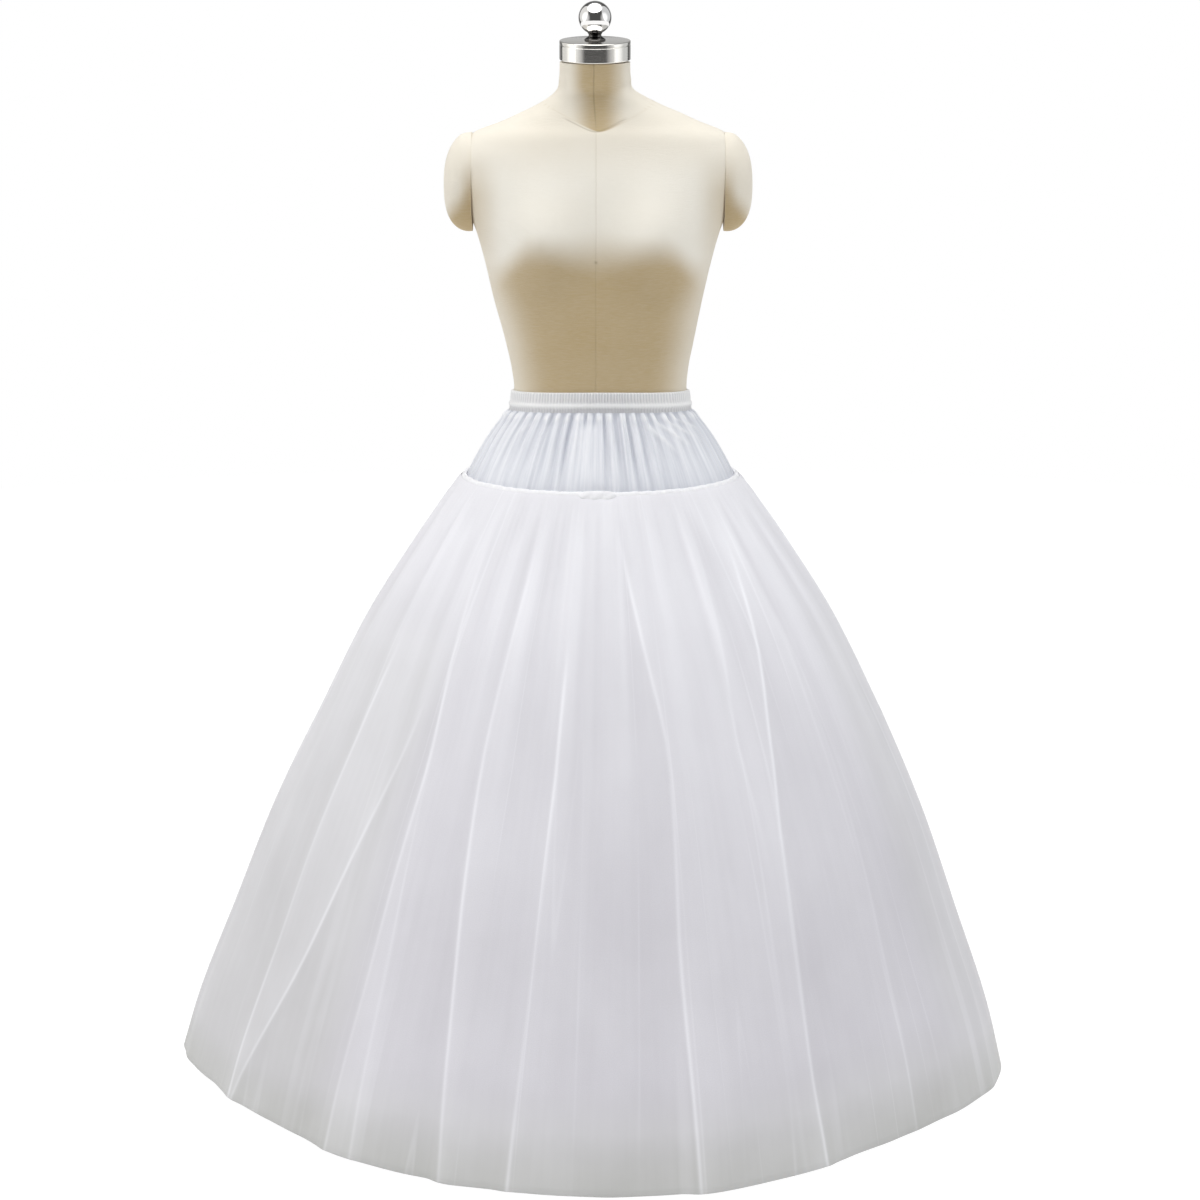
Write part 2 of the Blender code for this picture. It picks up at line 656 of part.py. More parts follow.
def turned(name, outline, centre, finish, columns=24, tilt=0.0, smooth_angle=40.0):
    """A turned solid. The outline lists (radius, height) from the bottom's middle to the top's middle."""
    mesh = bpy.data.meshes.new(name)
    work = bmesh.new()
    below = work.verts.new((0.0, 0.0, outline[0][1]))
    above = work.verts.new((0.0, 0.0, outline[-1][1]))
    rings = []
    for radius, height in outline:
        ring = []
        for c in range(columns):
            angle = FULL_TURN * c / columns
            ring.append(work.verts.new((radius * math.cos(angle), radius * math.sin(angle), height)))
        rings.append(ring)
    for low, high in zip(rings, rings[1:]):
        for c in range(columns):
            n = (c + 1) % columns
            work.faces.new((low[c], low[n], high[n], high[c]))
    for c in range(columns):
        n = (c + 1) % columns
        work.faces.new((below, rings[0][n], rings[0][c]))
        work.faces.new((above, rings[-1][c], rings[-1][n]))
    bmesh.ops.rotate(work, verts=work.verts, cent=(0.0, 0.0, 0.0), matrix=Matrix.Rotation(tilt, 3, "X"))
    bmesh.ops.translate(work, verts=work.verts, vec=centre)
    work.to_mesh(mesh)
    work.free()
    mesh.shade_smooth()
    mesh.set_sharp_from_angle(angle=math.radians(smooth_angle))
    mesh.materials.append(finish)
    made = bpy.data.objects.new(name, mesh)
    bpy.context.collection.objects.link(made)
    return made


def add_neck_fittings(chrome):
    """A thick chrome disc on the neck, tilted a little to the front, and a ball on a flared stem."""
    lift = NECK_CAP_RADIUS * math.sin(NECK_CAP_TILT) + SEAM_GAP
    centre = Vector((NECK_X, NECK_Y, NECK_TOP + lift))
    disc = (
        (NECK_CAP_RADIUS - NECK_CAP_EDGE, 0.0),
        (NECK_CAP_RADIUS, NECK_CAP_EDGE),
        (NECK_CAP_RADIUS, NECK_CAP_HEIGHT - NECK_CAP_EDGE),
        (NECK_CAP_RADIUS - NECK_CAP_EDGE, NECK_CAP_HEIGHT),
    )
    turned("neck_cap", disc, centre, chrome, columns=32, tilt=NECK_CAP_TILT)
    foot = NECK_CAP_HEIGHT + SEAM_GAP
    ball_centre = foot + KNOB_STAND + KNOB_RADIUS
    neck = ball_centre - KNOB_RADIUS * math.cos(KNOB_OPEN) - KNOB_STEM_NECK
    outline = [(KNOB_STEM + KNOB_STEM_FLARE, foot), (KNOB_STEM - KNOB_STEM_NECK, neck)]
    for k in range(KNOB_RINGS):
        turn = KNOB_OPEN + KNOB_ARC * k / (KNOB_RINGS - 1)
        outline.append((KNOB_RADIUS * math.sin(turn), ball_centre - KNOB_RADIUS * math.cos(turn)))
    turned("neck_knob", outline, centre, chrome, columns=20, tilt=NECK_CAP_TILT)


def add_stand(steel, iron):
    base = (
        (BASE_RADIUS, 0.0),
        (BASE_RADIUS, BASE_THICKNESS - BASE_EDGE),
        (BASE_RADIUS - BASE_EDGE, BASE_THICKNESS),
        (BASE_BOSS_RADIUS + BASE_FILLET, BASE_THICKNESS + BASE_EDGE),
        (BASE_BOSS_RADIUS, BASE_THICKNESS + BASE_FILLET),
        (BASE_BOSS_RADIUS - BASE_BOSS_TAPER, BASE_BOSS_HEIGHT),
    )
    turned("stand_base", base, Vector((0.0, 0.0, 0.0)), iron, columns=32)
    pole = ((POLE_RADIUS, BASE_BOSS_HEIGHT + SEAM_GAP), (POLE_RADIUS, FORM_BOTTOM - SEAM_GAP))
    turned("stand_pole", pole, Vector((0.0, 0.0, 0.0)), steel, columns=16)


def build():
    for old in list(bpy.data.objects):
        bpy.data.objects.remove(old, do_unlink=True)
    add_waistband(material("elastic", (0.80, 0.81, 0.86), 0.55))
    add_yoke(material("satin", (0.72, 0.75, 0.83), 0.38))
    add_binding(material("binding", (0.90, 0.90, 0.92), 0.70))
    add_binding_lap(material("binding_tab", (0.88, 0.88, 0.91), 0.65))
    add_outer_tulle(material("tulle", (0.78, 0.78, 0.80), 0.80))
    add_inner_tier(material("tier_tulle", (0.76, 0.76, 0.79), 0.85))
    linen = material("linen", (0.72, 0.66, 0.53), 0.85)
    add_form(linen)
    add_shoulder_cap("shoulder_cap_left", 1.0, linen)
    add_shoulder_cap("shoulder_cap_right", -1.0, linen)
    add_neck_fittings(material("chrome", (0.78, 0.78, 0.78), 0.12, 1.0))
    steel = material("pole_steel", (0.55, 0.55, 0.56), 0.25, 1.0)
    add_stand(steel, material("base_iron", (0.04, 0.04, 0.045), 0.5, 0.3))


form_column = {
    name: curve_through(FORM_SECTIONS, name)
    for name in ("half_width", "front", "back", "square", "centre_x", "centre_y")
}
build()
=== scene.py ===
"""Looks of the cancan skirt and its dress form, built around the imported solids.

Units are metres, +Z is up and the front faces -Y. The cloth follows the formulas that gave the solids their
shape, with many more rows and columns, and adds the finer gathers, creases, rolled edges and materials.
"""
import math
from collections import namedtuple

import bpy
import numpy as np
from mathutils import Matrix, Vector


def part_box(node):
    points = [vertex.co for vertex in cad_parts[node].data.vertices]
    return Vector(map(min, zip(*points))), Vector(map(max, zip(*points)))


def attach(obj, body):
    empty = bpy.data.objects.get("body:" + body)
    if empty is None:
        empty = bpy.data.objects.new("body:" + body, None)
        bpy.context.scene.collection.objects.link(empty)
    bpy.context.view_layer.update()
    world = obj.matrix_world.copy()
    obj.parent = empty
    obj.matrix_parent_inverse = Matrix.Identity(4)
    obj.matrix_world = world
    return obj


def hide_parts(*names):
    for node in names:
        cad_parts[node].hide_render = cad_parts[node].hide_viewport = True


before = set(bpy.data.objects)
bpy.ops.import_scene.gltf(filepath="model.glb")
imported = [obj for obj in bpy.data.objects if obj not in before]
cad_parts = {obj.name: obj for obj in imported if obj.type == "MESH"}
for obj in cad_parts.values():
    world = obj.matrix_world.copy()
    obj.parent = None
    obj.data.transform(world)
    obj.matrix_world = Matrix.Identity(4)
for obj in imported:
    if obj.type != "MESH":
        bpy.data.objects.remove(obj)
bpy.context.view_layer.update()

FULL_TURN = 2.0 * math.pi
FRONT = math.radians(-90.0)
BELL_UV_RADIUS = 0.4
YOKE_UV_RADIUS = 0.2
BAND_UV_RADIUS = 0.11
BINDING_UV_RADIUS = 0.19
BINDING_UV_GIRTH = 0.004


def table(columns, *rows):
    """A short table whose rows have named columns."""
    row_of = namedtuple("Row", columns)
    return tuple(row_of(*row) for row in rows)


# Driving heights and sizes of the skirt, as in the solids
WAIST_TOP = 0.978
BAND_WIDTH = 0.031
WAIST_TILT = 0.0105
YOKE_SEAM = 0.862
TIER_SEAM = 0.722
HEM = 0.042
INNER_HEM = 0.072
HEM_HALF_WIDTH = 0.566
SEAM_GAP = 0.0003
BINDING_HEIGHT = 0.0088
BINDING_THICKNESS = 0.0064
BELL_STAND = 0.0074
WAIST_DEPTH_RATIO = 0.76
SEAM_DEPTH_RATIO = 0.78
HEM_DEPTH_RATIO = 0.884
HEM_TURN = math.radians(-4.0)
HEM_LEAN = -0.013
LEAN_START = 0.40
DIAGONAL_TUCK = 0.055
SIDE_BIAS = 0.9
YOKE_GATHERS = 44
BAND_RUCHES = 148
TIER_WAVES = 24
RIB_LINE = 1.10

BELL_SECTIONS = table(
    "height half_width",
    (0.8584, 0.1864),
    (0.8540, 0.1930),
    (0.8450, 0.2010),
    (0.8200, 0.2190),
    (0.7590, 0.2605),
    (0.6900, 0.3045),
    (0.5500, 0.3755),
    (0.4080, 0.4400),
    (0.2640, 0.4935),
    (0.1190, 0.5455),
    (HEM, HEM_HALF_WIDTH),
)
YOKE_SECTIONS = table(
    "height half_width",
    (0.9462, 0.1275),
    (0.9230, 0.1455),
    (0.8980, 0.1610),
    (0.8740, 0.1740),
    (YOKE_SEAM, 0.1790),
    (0.8000, 0.2120),
    (TIER_SEAM - 0.008, 0.2615),
)
TIER_SECTIONS = table(
    "height half_width",
    (TIER_SEAM, 0.2587),
    (0.6900, 0.2875),
    (0.5500, 0.3625),
    (0.4080, 0.4280),
    (0.2640, 0.4820),
    (0.1190, 0.5290),
    (INNER_HEM, 0.5440),
)
FORM_SECTIONS = table(
    "height half_width front back square centre_x centre_y",
    (1.4105, 0.0460, 0.0455, 0.0455, 2.0, -0.0070, -0.0040),
    (1.3900, 0.0470, 0.0480, 0.0480, 2.0, -0.0070, -0.0020),
    (1.3740, 0.0510, 0.0520, 0.0520, 2.0, -0.0065, 0.0010),
    (1.3640, 0.0640, 0.0540, 0.0560, 2.0, -0.0035, 0.0060),
    (1.3530, 0.0840, 0.0560, 0.0600, 2.0, -0.0015, 0.0090),
    (1.3430, 0.1060, 0.0590, 0.0640, 2.1, 0.0, 0.0100),
    (1.3320, 0.1300, 0.0640, 0.0690, 2.2, 0.0, 0.0100),
    (1.3200, 0.1610, 0.0710, 0.0740, 2.4, -0.0010, 0.0090),
    (1.3000, 0.1790, 0.0790, 0.0820, 2.6, -0.0030, 0.0080),
    (1.2640, 0.1800, 0.0890, 0.0920, 2.7, -0.0030, 0.0050),
    (1.2240, 0.1720, 0.0940, 0.0960, 2.5, -0.0030, 0.0020),
    (1.1840, 0.1585, 0.0950, 0.0950, 2.25, -0.0030, 0.0),
    (1.1440, 0.1480, 0.0930, 0.0920, 2.1, -0.0030, 0.0),
    (1.1040, 0.1390, 0.0930, 0.0890, 2.0, -0.0030, 0.0),
    (1.0440, 0.1250, 0.0920, 0.0880, 2.0, -0.0010, 0.0),
    (1.0040, 0.1170, 0.0890, 0.0880, 2.0, -0.0005, 0.0),
    (0.9790, 0.1148, 0.1148 * WAIST_DEPTH_RATIO, 0.1148 * WAIST_DEPTH_RATIO, 2.0, 0.0, 0.0),
    (0.9620, 0.1170, 0.1170 * WAIST_DEPTH_RATIO, 0.1170 * WAIST_DEPTH_RATIO, 2.0, 0.0, 0.0),
    (0.9450, 0.1205, 0.1205 * WAIST_DEPTH_RATIO, 0.1205 * WAIST_DEPTH_RATIO, 2.0, 0.0, 0.0),
    (0.9000, 0.1320, 0.0980, 0.0990, 2.0, 0.0, 0.0),
    (0.8400, 0.1490, 0.1060, 0.1130, 2.0, 0.0, 0.0),
    (0.7700, 0.1640, 0.1100, 0.1250, 2.0, 0.0, 0.0),
    (0.7200, 0.1600, 0.1080, 0.1220, 2.0, 0.0, 0.0),
    (0.7000, 0.1480, 0.0980, 0.1100, 2.0, 0.0, 0.0),
)
ARMHOLE_HALF_WIDTH = 0.1655
ARMHOLE_CENTRE_X = -0.003
ARMHOLE_BOTTOM = 1.179
CAP_STICKOUT = 0.0375
CAP_HALF_HEIGHT = 0.0665
CAP_HALF_DEPTH = 0.052
CAP_CENTRE = 1.2555
CAP_SAG = 0.006
CAP_SET_BACK = 0.006
CAP_ROUNDNESS = 0.75
CAP_TOP_DROP = 0.0032
BUST_HEIGHT = 1.183
BUST_SPREAD = 0.078
BUST_DEPTH = 0.031
BUST_HALF_WIDTH = 0.050
BUST_RISE = 0.058
BUST_FALL = 0.046
BUST_WRAP = 1.4
FORM_CLEARANCE = 0.0005

# Long folds of the outer tulle. The path lists (share of the way down, angle in degrees) of the crest, the
# front being -90. The cloth drops sharply on one side, +1 towards larger angles. Line and band say how
# white the folded edge is, and the doubled cloth on the soft side of it.
FOLDS = table(
    "path lift soft sharp side start line band band_width",
    (((0.22, -152.0), (0.35, -154.0), (1.0, -157.0)), 0.0028, 0.040, 0.014, -1, 0.22, 0.8, 0.5, 0.035),
    (((0.30, -137.0), (0.43, -140.0), (0.77, -149.0), (1.0, -156.6)),
     0.0024, 0.034, 0.014, 1, 0.28, 0.8, 0.5, 0.035),
    (((0.0, -137.0), (0.12, -135.0), (0.37, -131.0), (1.0, -132.5)),
     0.0042, 0.055, 0.016, -1, 0.04, 0.6, 0.6, 0.050),
    (((0.5, -129.5), (0.83, -128.0), (1.0, -127.5)), 0.0010, 0.020, 0.010, 1, 0.50, 0.35, 0.25, 0.030),
    (((0.0, -115.0), (0.14, -116.0), (0.37, -118.0), (1.0, -112.0)),
     0.0050, 0.055, 0.014, -1, 0.05, 1.0, 0.7, 0.045),
    (((0.15, -99.0), (0.31, -100.0), (1.0, -102.0)), 0.0035, 0.040, 0.014, -1, 0.18, 0.9, 0.4, 0.035),
    (((0.0, -84.0), (0.11, -80.0), (0.22, -77.0), (0.35, -73.5), (0.64, -75.0), (1.0, -74.0)),
     0.0050, 0.070, 0.014, -1, 0.04, 0.9, 0.6, 0.045),
    (((0.0, -50.0), (0.09, -52.0), (0.36, -57.0), (0.49, -55.5)),
     0.0020, 0.045, 0.012, 1, 0.02, 0.3, 0.6, 0.040),
    (((0.0, -36.0), (0.12, -40.0), (0.24, -43.5), (0.32, -47.0), (0.5, -51.5), (0.87, -54.0),
      (1.0, -53.0)), 0.0060, 0.080, 0.016, 1, 0.05, 0.9, 0.6, 0.060),
    (((0.2, -31.0), (0.34, -32.0), (1.0, -34.0)), 0.0020, 0.060, 0.030, 1, 0.20, 0.25, 0.2, 0.050),
    (((0.0, -8.0), (1.0, -13.0)), 0.0050, 0.070, 0.030, -1, 0.25, 0.3, 0.3, 0.050),
    (((0.0, 12.0), (1.0, 8.0)), 0.0030, 0.060, 0.020, 1, 0.12, 0.7, 0.4, 0.040),
    (((0.0, 24.0), (0.5, 27.5), (1.0, 29.0)), 0.0045, 0.070, 0.016, -1, 0.08, 0.8, 0.6, 0.045),
    (((0.0, 50.0), (1.0, 46.0)), 0.0050, 0.060, 0.016, 1, 0.16, 0.9, 0.5, 0.045),
    (((0.0, 62.0), (0.5, 65.0), (1.0, 66.0)), 0.0040, 0.070, 0.018, 1, 0.06, 0.5, 0.5, 0.050),
    (((0.0, 88.0), (1.0, 83.0)), 0.0055, 0.070, 0.016, -1, 0.10, 0.9, 0.6, 0.045),
    (((0.0, 103.0), (1.0, 105.0)), 0.0038, 0.050, 0.016, 1, 0.22, 0.8, 0.4, 0.040),
    (((0.0, 120.0), (0.5, 124.0), (1.0, 125.0)), 0.0055, 0.070, 0.016, -1, 0.06, 0.9, 0.6, 0.045),
    (((0.0, 147.0), (1.0, 143.0)), 0.0040, 0.060, 0.016, 1, 0.14, 0.8, 0.5, 0.040),
    (((0.0, 158.0), (0.5, 161.5), (1.0, 163.0)), 0.0035, 0.060, 0.020, -1, 0.10, 0.6, 0.4, 0.040),
    (((0.0, 188.0), (0.5, 182.0), (1.0, 179.0)), 0.0050, 0.060, 0.024, 1, 0.18, 0.4, 0.3, 0.040),
)
FOLD_TOP_WIDTH = 0.35
FOLD_TOP_LIFT = 0.45
FOLD_GROWTH = 0.35
FOLD_EDGE_WIDTH = 0.0025
FOLD_EDGE_WHITE = 0.31
FOLD_BAND_EDGE = 0.003
FOLD_BAND_WHITE = 0.13
FOLD_BAND_MORE = 0.05

HEM_SWAYS = table(
    "angle width drop",
    (-160.0, 34.0, -0.0105),
    (-166.0, 13.0, -0.0060),
    (-118.0, 20.0, -0.0035),
    (-76.0, 24.0, 0.0040),
    (75.0, 40.0, 0.0040),
)

# The camera stands where the photo was taken from: 4.5 m in front, a little above the neck, looking down
CAMERA_PLACE = (-0.0005, -4.5, 1.74)
CAMERA_PITCH = math.radians(13.1392)
CAMERA_LENS = 102.53


def curve_through(rows, column):
    """A smooth function of an array of heights that passes through one column of a table of sections."""
    ordered = sorted(rows, key=lambda row: row.height)
    heights = np.array([row.height for row in ordered])
    values = np.array([getattr(row, column) for row in ordered])
    runs = np.diff(values) / np.diff(heights)
    gaps = np.diff(heights)
    inner = (runs[:-1] * gaps[1:] + runs[1:] * gaps[:-1]) / (gaps[:-1] + gaps[1:])
    slopes = np.concatenate([[runs[0]], inner, [runs[-1]]])

    def value_at(height):
        height = np.asarray(height, float)
        inside = np.clip(height, heights[0], heights[-1])
        i = np.clip(np.searchsorted(heights, inside, side="right") - 1, 0, len(heights) - 2)
        run = gaps[i]
        s = (inside - heights[i]) / run
        rise = (3.0 - 2.0 * s) * s * s
        bend = s * (1.0 - s) ** 2 * run * slopes[i] + s * s * (s - 1.0) * run * slopes[i + 1]
        value = values[i] + (values[i + 1] - values[i]) * rise + bend
        below = slopes[0] * np.minimum(height - heights[0], 0.0)
        above = slopes[-1] * np.maximum(height - heights[-1], 0.0)
        return value + below + above

    return value_at


def ease(value, low, high):
    """Rise smoothly from 0 at low to 1 at high."""
    s = np.clip((value - low) / (high - low), 0.0, 1.0)
    return s * s * (3.0 - 2.0 * s)


def angle_between(angle, centre):
    return (angle - centre + math.pi) % FULL_TURN - math.pi


def bump(distance, width):
    """A smooth hump: 1 at no distance and near 0 two widths away."""
    return np.exp(-((distance / width) ** 2))


def uneven(angle, seed, harmonics=(2, 3, 5, 8)):
    """A smooth curve round the body between about -1 and 1 that looks irregular and closes on itself."""
    made = np.random.default_rng(seed)
    total = np.zeros_like(angle)
    for k in harmonics:
        total = total + made.uniform(0.5, 1.0) * np.sin(k * angle + made.uniform(0.0, FULL_TURN))
    return total / (0.75 * len(harmonics))


def uneven_waves(angle, count, seed, drift=0.35):
    """Phase of about count waves round the body, closer together in some places than in others."""
    wander = uneven(angle, seed, (3, 4, 7, 11, 13))
    wander = wander + 0.6 * uneven(angle, seed + 1, (17, 23, 29))
    return count * angle + drift * FULL_TURN * wander


def waist_lift(height, angle):
    amount = ease(height, YOKE_SEAM, WAIST_TOP - BAND_WIDTH) * (1.0 - ease(height, WAIST_TOP, RIB_LINE))
    return -WAIST_TILT * np.sin(angle) * amount


def ellipse_reach(angle, half_width, half_depth):
    return half_width * half_depth / np.hypot(half_depth * np.cos(angle), half_width * np.sin(angle))


def bell_fraction(height):
    return (YOKE_SEAM - height) / (YOKE_SEAM - HEM)


def bell_plan(angle, height, half_width):
    """The skirt's plan at a height: an ellipse that turns, leans and flattens towards the hem."""
    fraction = np.clip(bell_fraction(height), 0.0, 1.0)
    band = ease(height, YOKE_SEAM, WAIST_TOP - BAND_WIDTH)
    above = SEAM_DEPTH_RATIO + (WAIST_DEPTH_RATIO - SEAM_DEPTH_RATIO) * band
    below = SEAM_DEPTH_RATIO + (HEM_DEPTH_RATIO - SEAM_DEPTH_RATIO) * fraction
    ratio = np.where(height >= YOKE_SEAM, above, below)
    local = angle - HEM_TURN * fraction
    tuck = DIAGONAL_TUCK * fraction * np.sin(2.0 * local) ** 2 * (1.0 + SIDE_BIAS * np.cos(2.0 * local))
    reach = ellipse_reach(local, half_width, half_width * ratio) * (1.0 - tuck)
    lean = HEM_LEAN * np.maximum(0.0, fraction - LEAN_START) / (1.0 - LEAN_START)
    return reach, lean


bell_half_width = curve_through(BELL_SECTIONS, "half_width")
yoke_half_width = curve_through(YOKE_SECTIONS, "half_width")
tier_half_width = curve_through(TIER_SECTIONS, "half_width")
form_column = {name: curve_through(FORM_SECTIONS, name) for name in FORM_SECTIONS[0]._fields[1:]}
BELL_TOP = BELL_SECTIONS[0].height
YOKE_TOP = YOKE_SECTIONS[0].height
YOKE_BOTTOM = YOKE_SECTIONS[-1].height
HEADS_TOP = 0.9520


def stack(x, y, z):
    return np.stack(np.broadcast_arrays(x, y, z), axis=-1)


def around(angle, reach, height, lean=0.0):
    """Points at an angle, reach and height round an axis that leans sideways."""
    return stack(lean + reach * np.cos(angle), reach * np.sin(angle), height)


def path_angle(path, fraction):
    """The angle of a crest at each share of the way down, through its listed points without corners."""
    shares = [share for share, degrees in path]
    degrees = [degrees for share, degrees in path]
    total = np.zeros_like(fraction)
    for offset, weight in ((-0.05, 0.25), (0.0, 0.5), (0.05, 0.25)):
        total = total + weight * np.interp(fraction + offset, shares, degrees)
    return np.radians(total)


def fold_relief(angle, fraction, reach):
    """How far the folds stand out, and how much folded cloth doubles up, at each point."""
    lift = np.zeros_like(angle)
    whiteness = np.zeros_like(angle)
    for number, fold in enumerate(FOLDS):
        away = angle_between(angle, path_angle(fold.path, fraction)) * reach
        sharp = away * fold.side > 0.0
        narrow = FOLD_TOP_WIDTH + (1.0 - FOLD_TOP_WIDTH) * fraction
        width = np.where(sharp, fold.sharp, fold.soft) * narrow
        grown = ease(fraction, fold.start, fold.start + FOLD_GROWTH)
        grown = grown * (FOLD_TOP_LIFT + (1.0 - FOLD_TOP_LIFT) * fraction)
        last = fold.path[-1][0]
        fade = 1.0 if last >= 1.0 else 1.0 - ease(fraction, last - 0.15, last + 0.10)
        lift = lift + fold.lift * grown * fade * bump(away, width)
        shown = ease(fraction, fold.start, fold.start + 0.12) * fade
        edge = bump(away, FOLD_EDGE_WIDTH)
        band = np.where(sharp, bump(away, FOLD_BAND_EDGE), np.exp(-np.abs(away) / fold.band_width))
        band = band * (FOLD_BAND_WHITE + FOLD_BAND_MORE * ease(fraction, 0.20, 0.45))
        bright = 0.68 + 0.32 * np.sin(8.0 * fraction + 2.3 * number)
        whiteness = whiteness + shown * (FOLD_EDGE_WHITE * fold.line * bright * edge + fold.band * band)
    return lift, whiteness


def hem_drop(angle):
    drop = np.zeros_like(angle)
    for sway in HEM_SWAYS:
        away = angle_between(angle, math.radians(sway.angle))
        drop = drop + sway.drop * bump(away, math.radians(sway.width))
    return drop


def normals_of(points, closed):
    """Outward normals of a grid of points whose rows run down the body."""
    if closed:
        along = np.roll(points, -1, axis=1) - np.roll(points, 1, axis=1)
    else:
        along = np.gradient(points, axis=1)
    down = np.gradient(points, axis=0)
    normal = np.cross(down, along)
    return normal / np.maximum(np.linalg.norm(normal, axis=-1, keepdims=True), 1e-12)


def grid_piece(name, points, finish, closed=False, uv=None, shades=None):
    """A smooth mesh over points in rows down and columns round, with UVs in metres and point values."""
    rows, columns = points.shape[:2]
    mesh = bpy.data.meshes.new(name)
    index = np.arange(rows * columns).reshape(rows, columns)
    after = np.roll(index, -1, axis=1) if closed else index[:, 1:]
    here = index if closed else index[:, :-1]
    quads = np.stack([here[:-1], here[1:], after[1:], after[:-1]], axis=-1).reshape(-1, 4)
    mesh.from_pydata(points.reshape(-1, 3).tolist(), [], quads.tolist())
    if uv is not None:
        flat = uv.reshape(-1, 2)
        corner = np.empty(len(mesh.loops), np.int32)
        mesh.loops.foreach_get("vertex_index", corner)
        mesh.uv_layers.new(name="cloth").data.foreach_set("uv", flat[corner].astype(np.float32).ravel())
    for label, values in (shades or {}).items():
        attribute = mesh.attributes.new(label, "FLOAT", "POINT")
        values = np.broadcast_to(values, (rows, columns)).astype(np.float32)
        attribute.data.foreach_set("value", values.ravel())
    mesh.shade_smooth()
    mesh.materials.append(finish)
    return put_in_scene(name, mesh)


def crowded(start, end, steps, amount):
    """Angles from start to just before end, row by row, which crowd beside both."""
    share = np.arange(steps) / steps
    share = share - amount * np.sin(FULL_TURN * share) / FULL_TURN
    return start + (end - start) * share[None, :]


def panel_columns(first, last, fraction, count):
    """Column angles of one panel, row by row, which follow the folds and crowd beside them."""
    knots = [first]
    for fold in FOLDS:
        ends = np.radians([degrees for share, degrees in fold.path])
        if ends.min() > first.min() + 0.02 and ends.max() < last.max() - 0.02:
            knots.append(path_angle(fold.path, fraction))
    knots.append(last)
    knots = np.concatenate([np.broadcast_to(knot, fraction.shape) for knot in knots], axis=1)
    knots = np.sort(knots, axis=1)
    widths = np.diff(knots.mean(axis=0))
    steps = np.maximum(10, np.round(count * widths / widths.sum())).astype(int)
    parts = [crowded(knots[:, i:i + 1], knots[:, i + 1:i + 2], step, 0.75) for i, step in enumerate(steps)]
    return np.concatenate(parts + [knots[:, -1:]], axis=1)


def metres_uv(angle, height, radius):
    return np.stack(np.broadcast_arrays(angle * radius, height), axis=-1)


def whole_round(columns):
    """Even column angles once round, without the last, which would fall on the first."""
    return np.linspace(0.0, FULL_TURN, columns + 1)[None, :-1]


def even_half(first, trim, rows, columns):
    """Even column angles of half a round, trimmed at both side seams."""
    steps = np.linspace(0.0, 1.0, columns + 1)[None, :]
    return first + trim + (math.pi - 2.0 * trim) * np.broadcast_to(steps, (rows, columns + 1))


def add_halves(name, node, slot, finish, uv_radius, half_of):
    """A front and a back panel. Half_of gives the angles, points and point values from a first angle on."""
    pieces = []
    for half, first in (("front", -math.pi), ("back", 0.0)):
        angle, points, shades = half_of(first)
        uv = metres_uv(angle, points[..., 2], uv_radius)
        piece = grid_piece(f"{name}_{half}", points, finish, uv=uv, shades=shades)
        pieces.append(finish_piece(piece, slot, f"{node}_{half}"))
    return pieces


def put_in_scene(name, data):
    made = bpy.data.objects.new(name, data)
    bpy.context.scene.collection.objects.link(made)
    return made


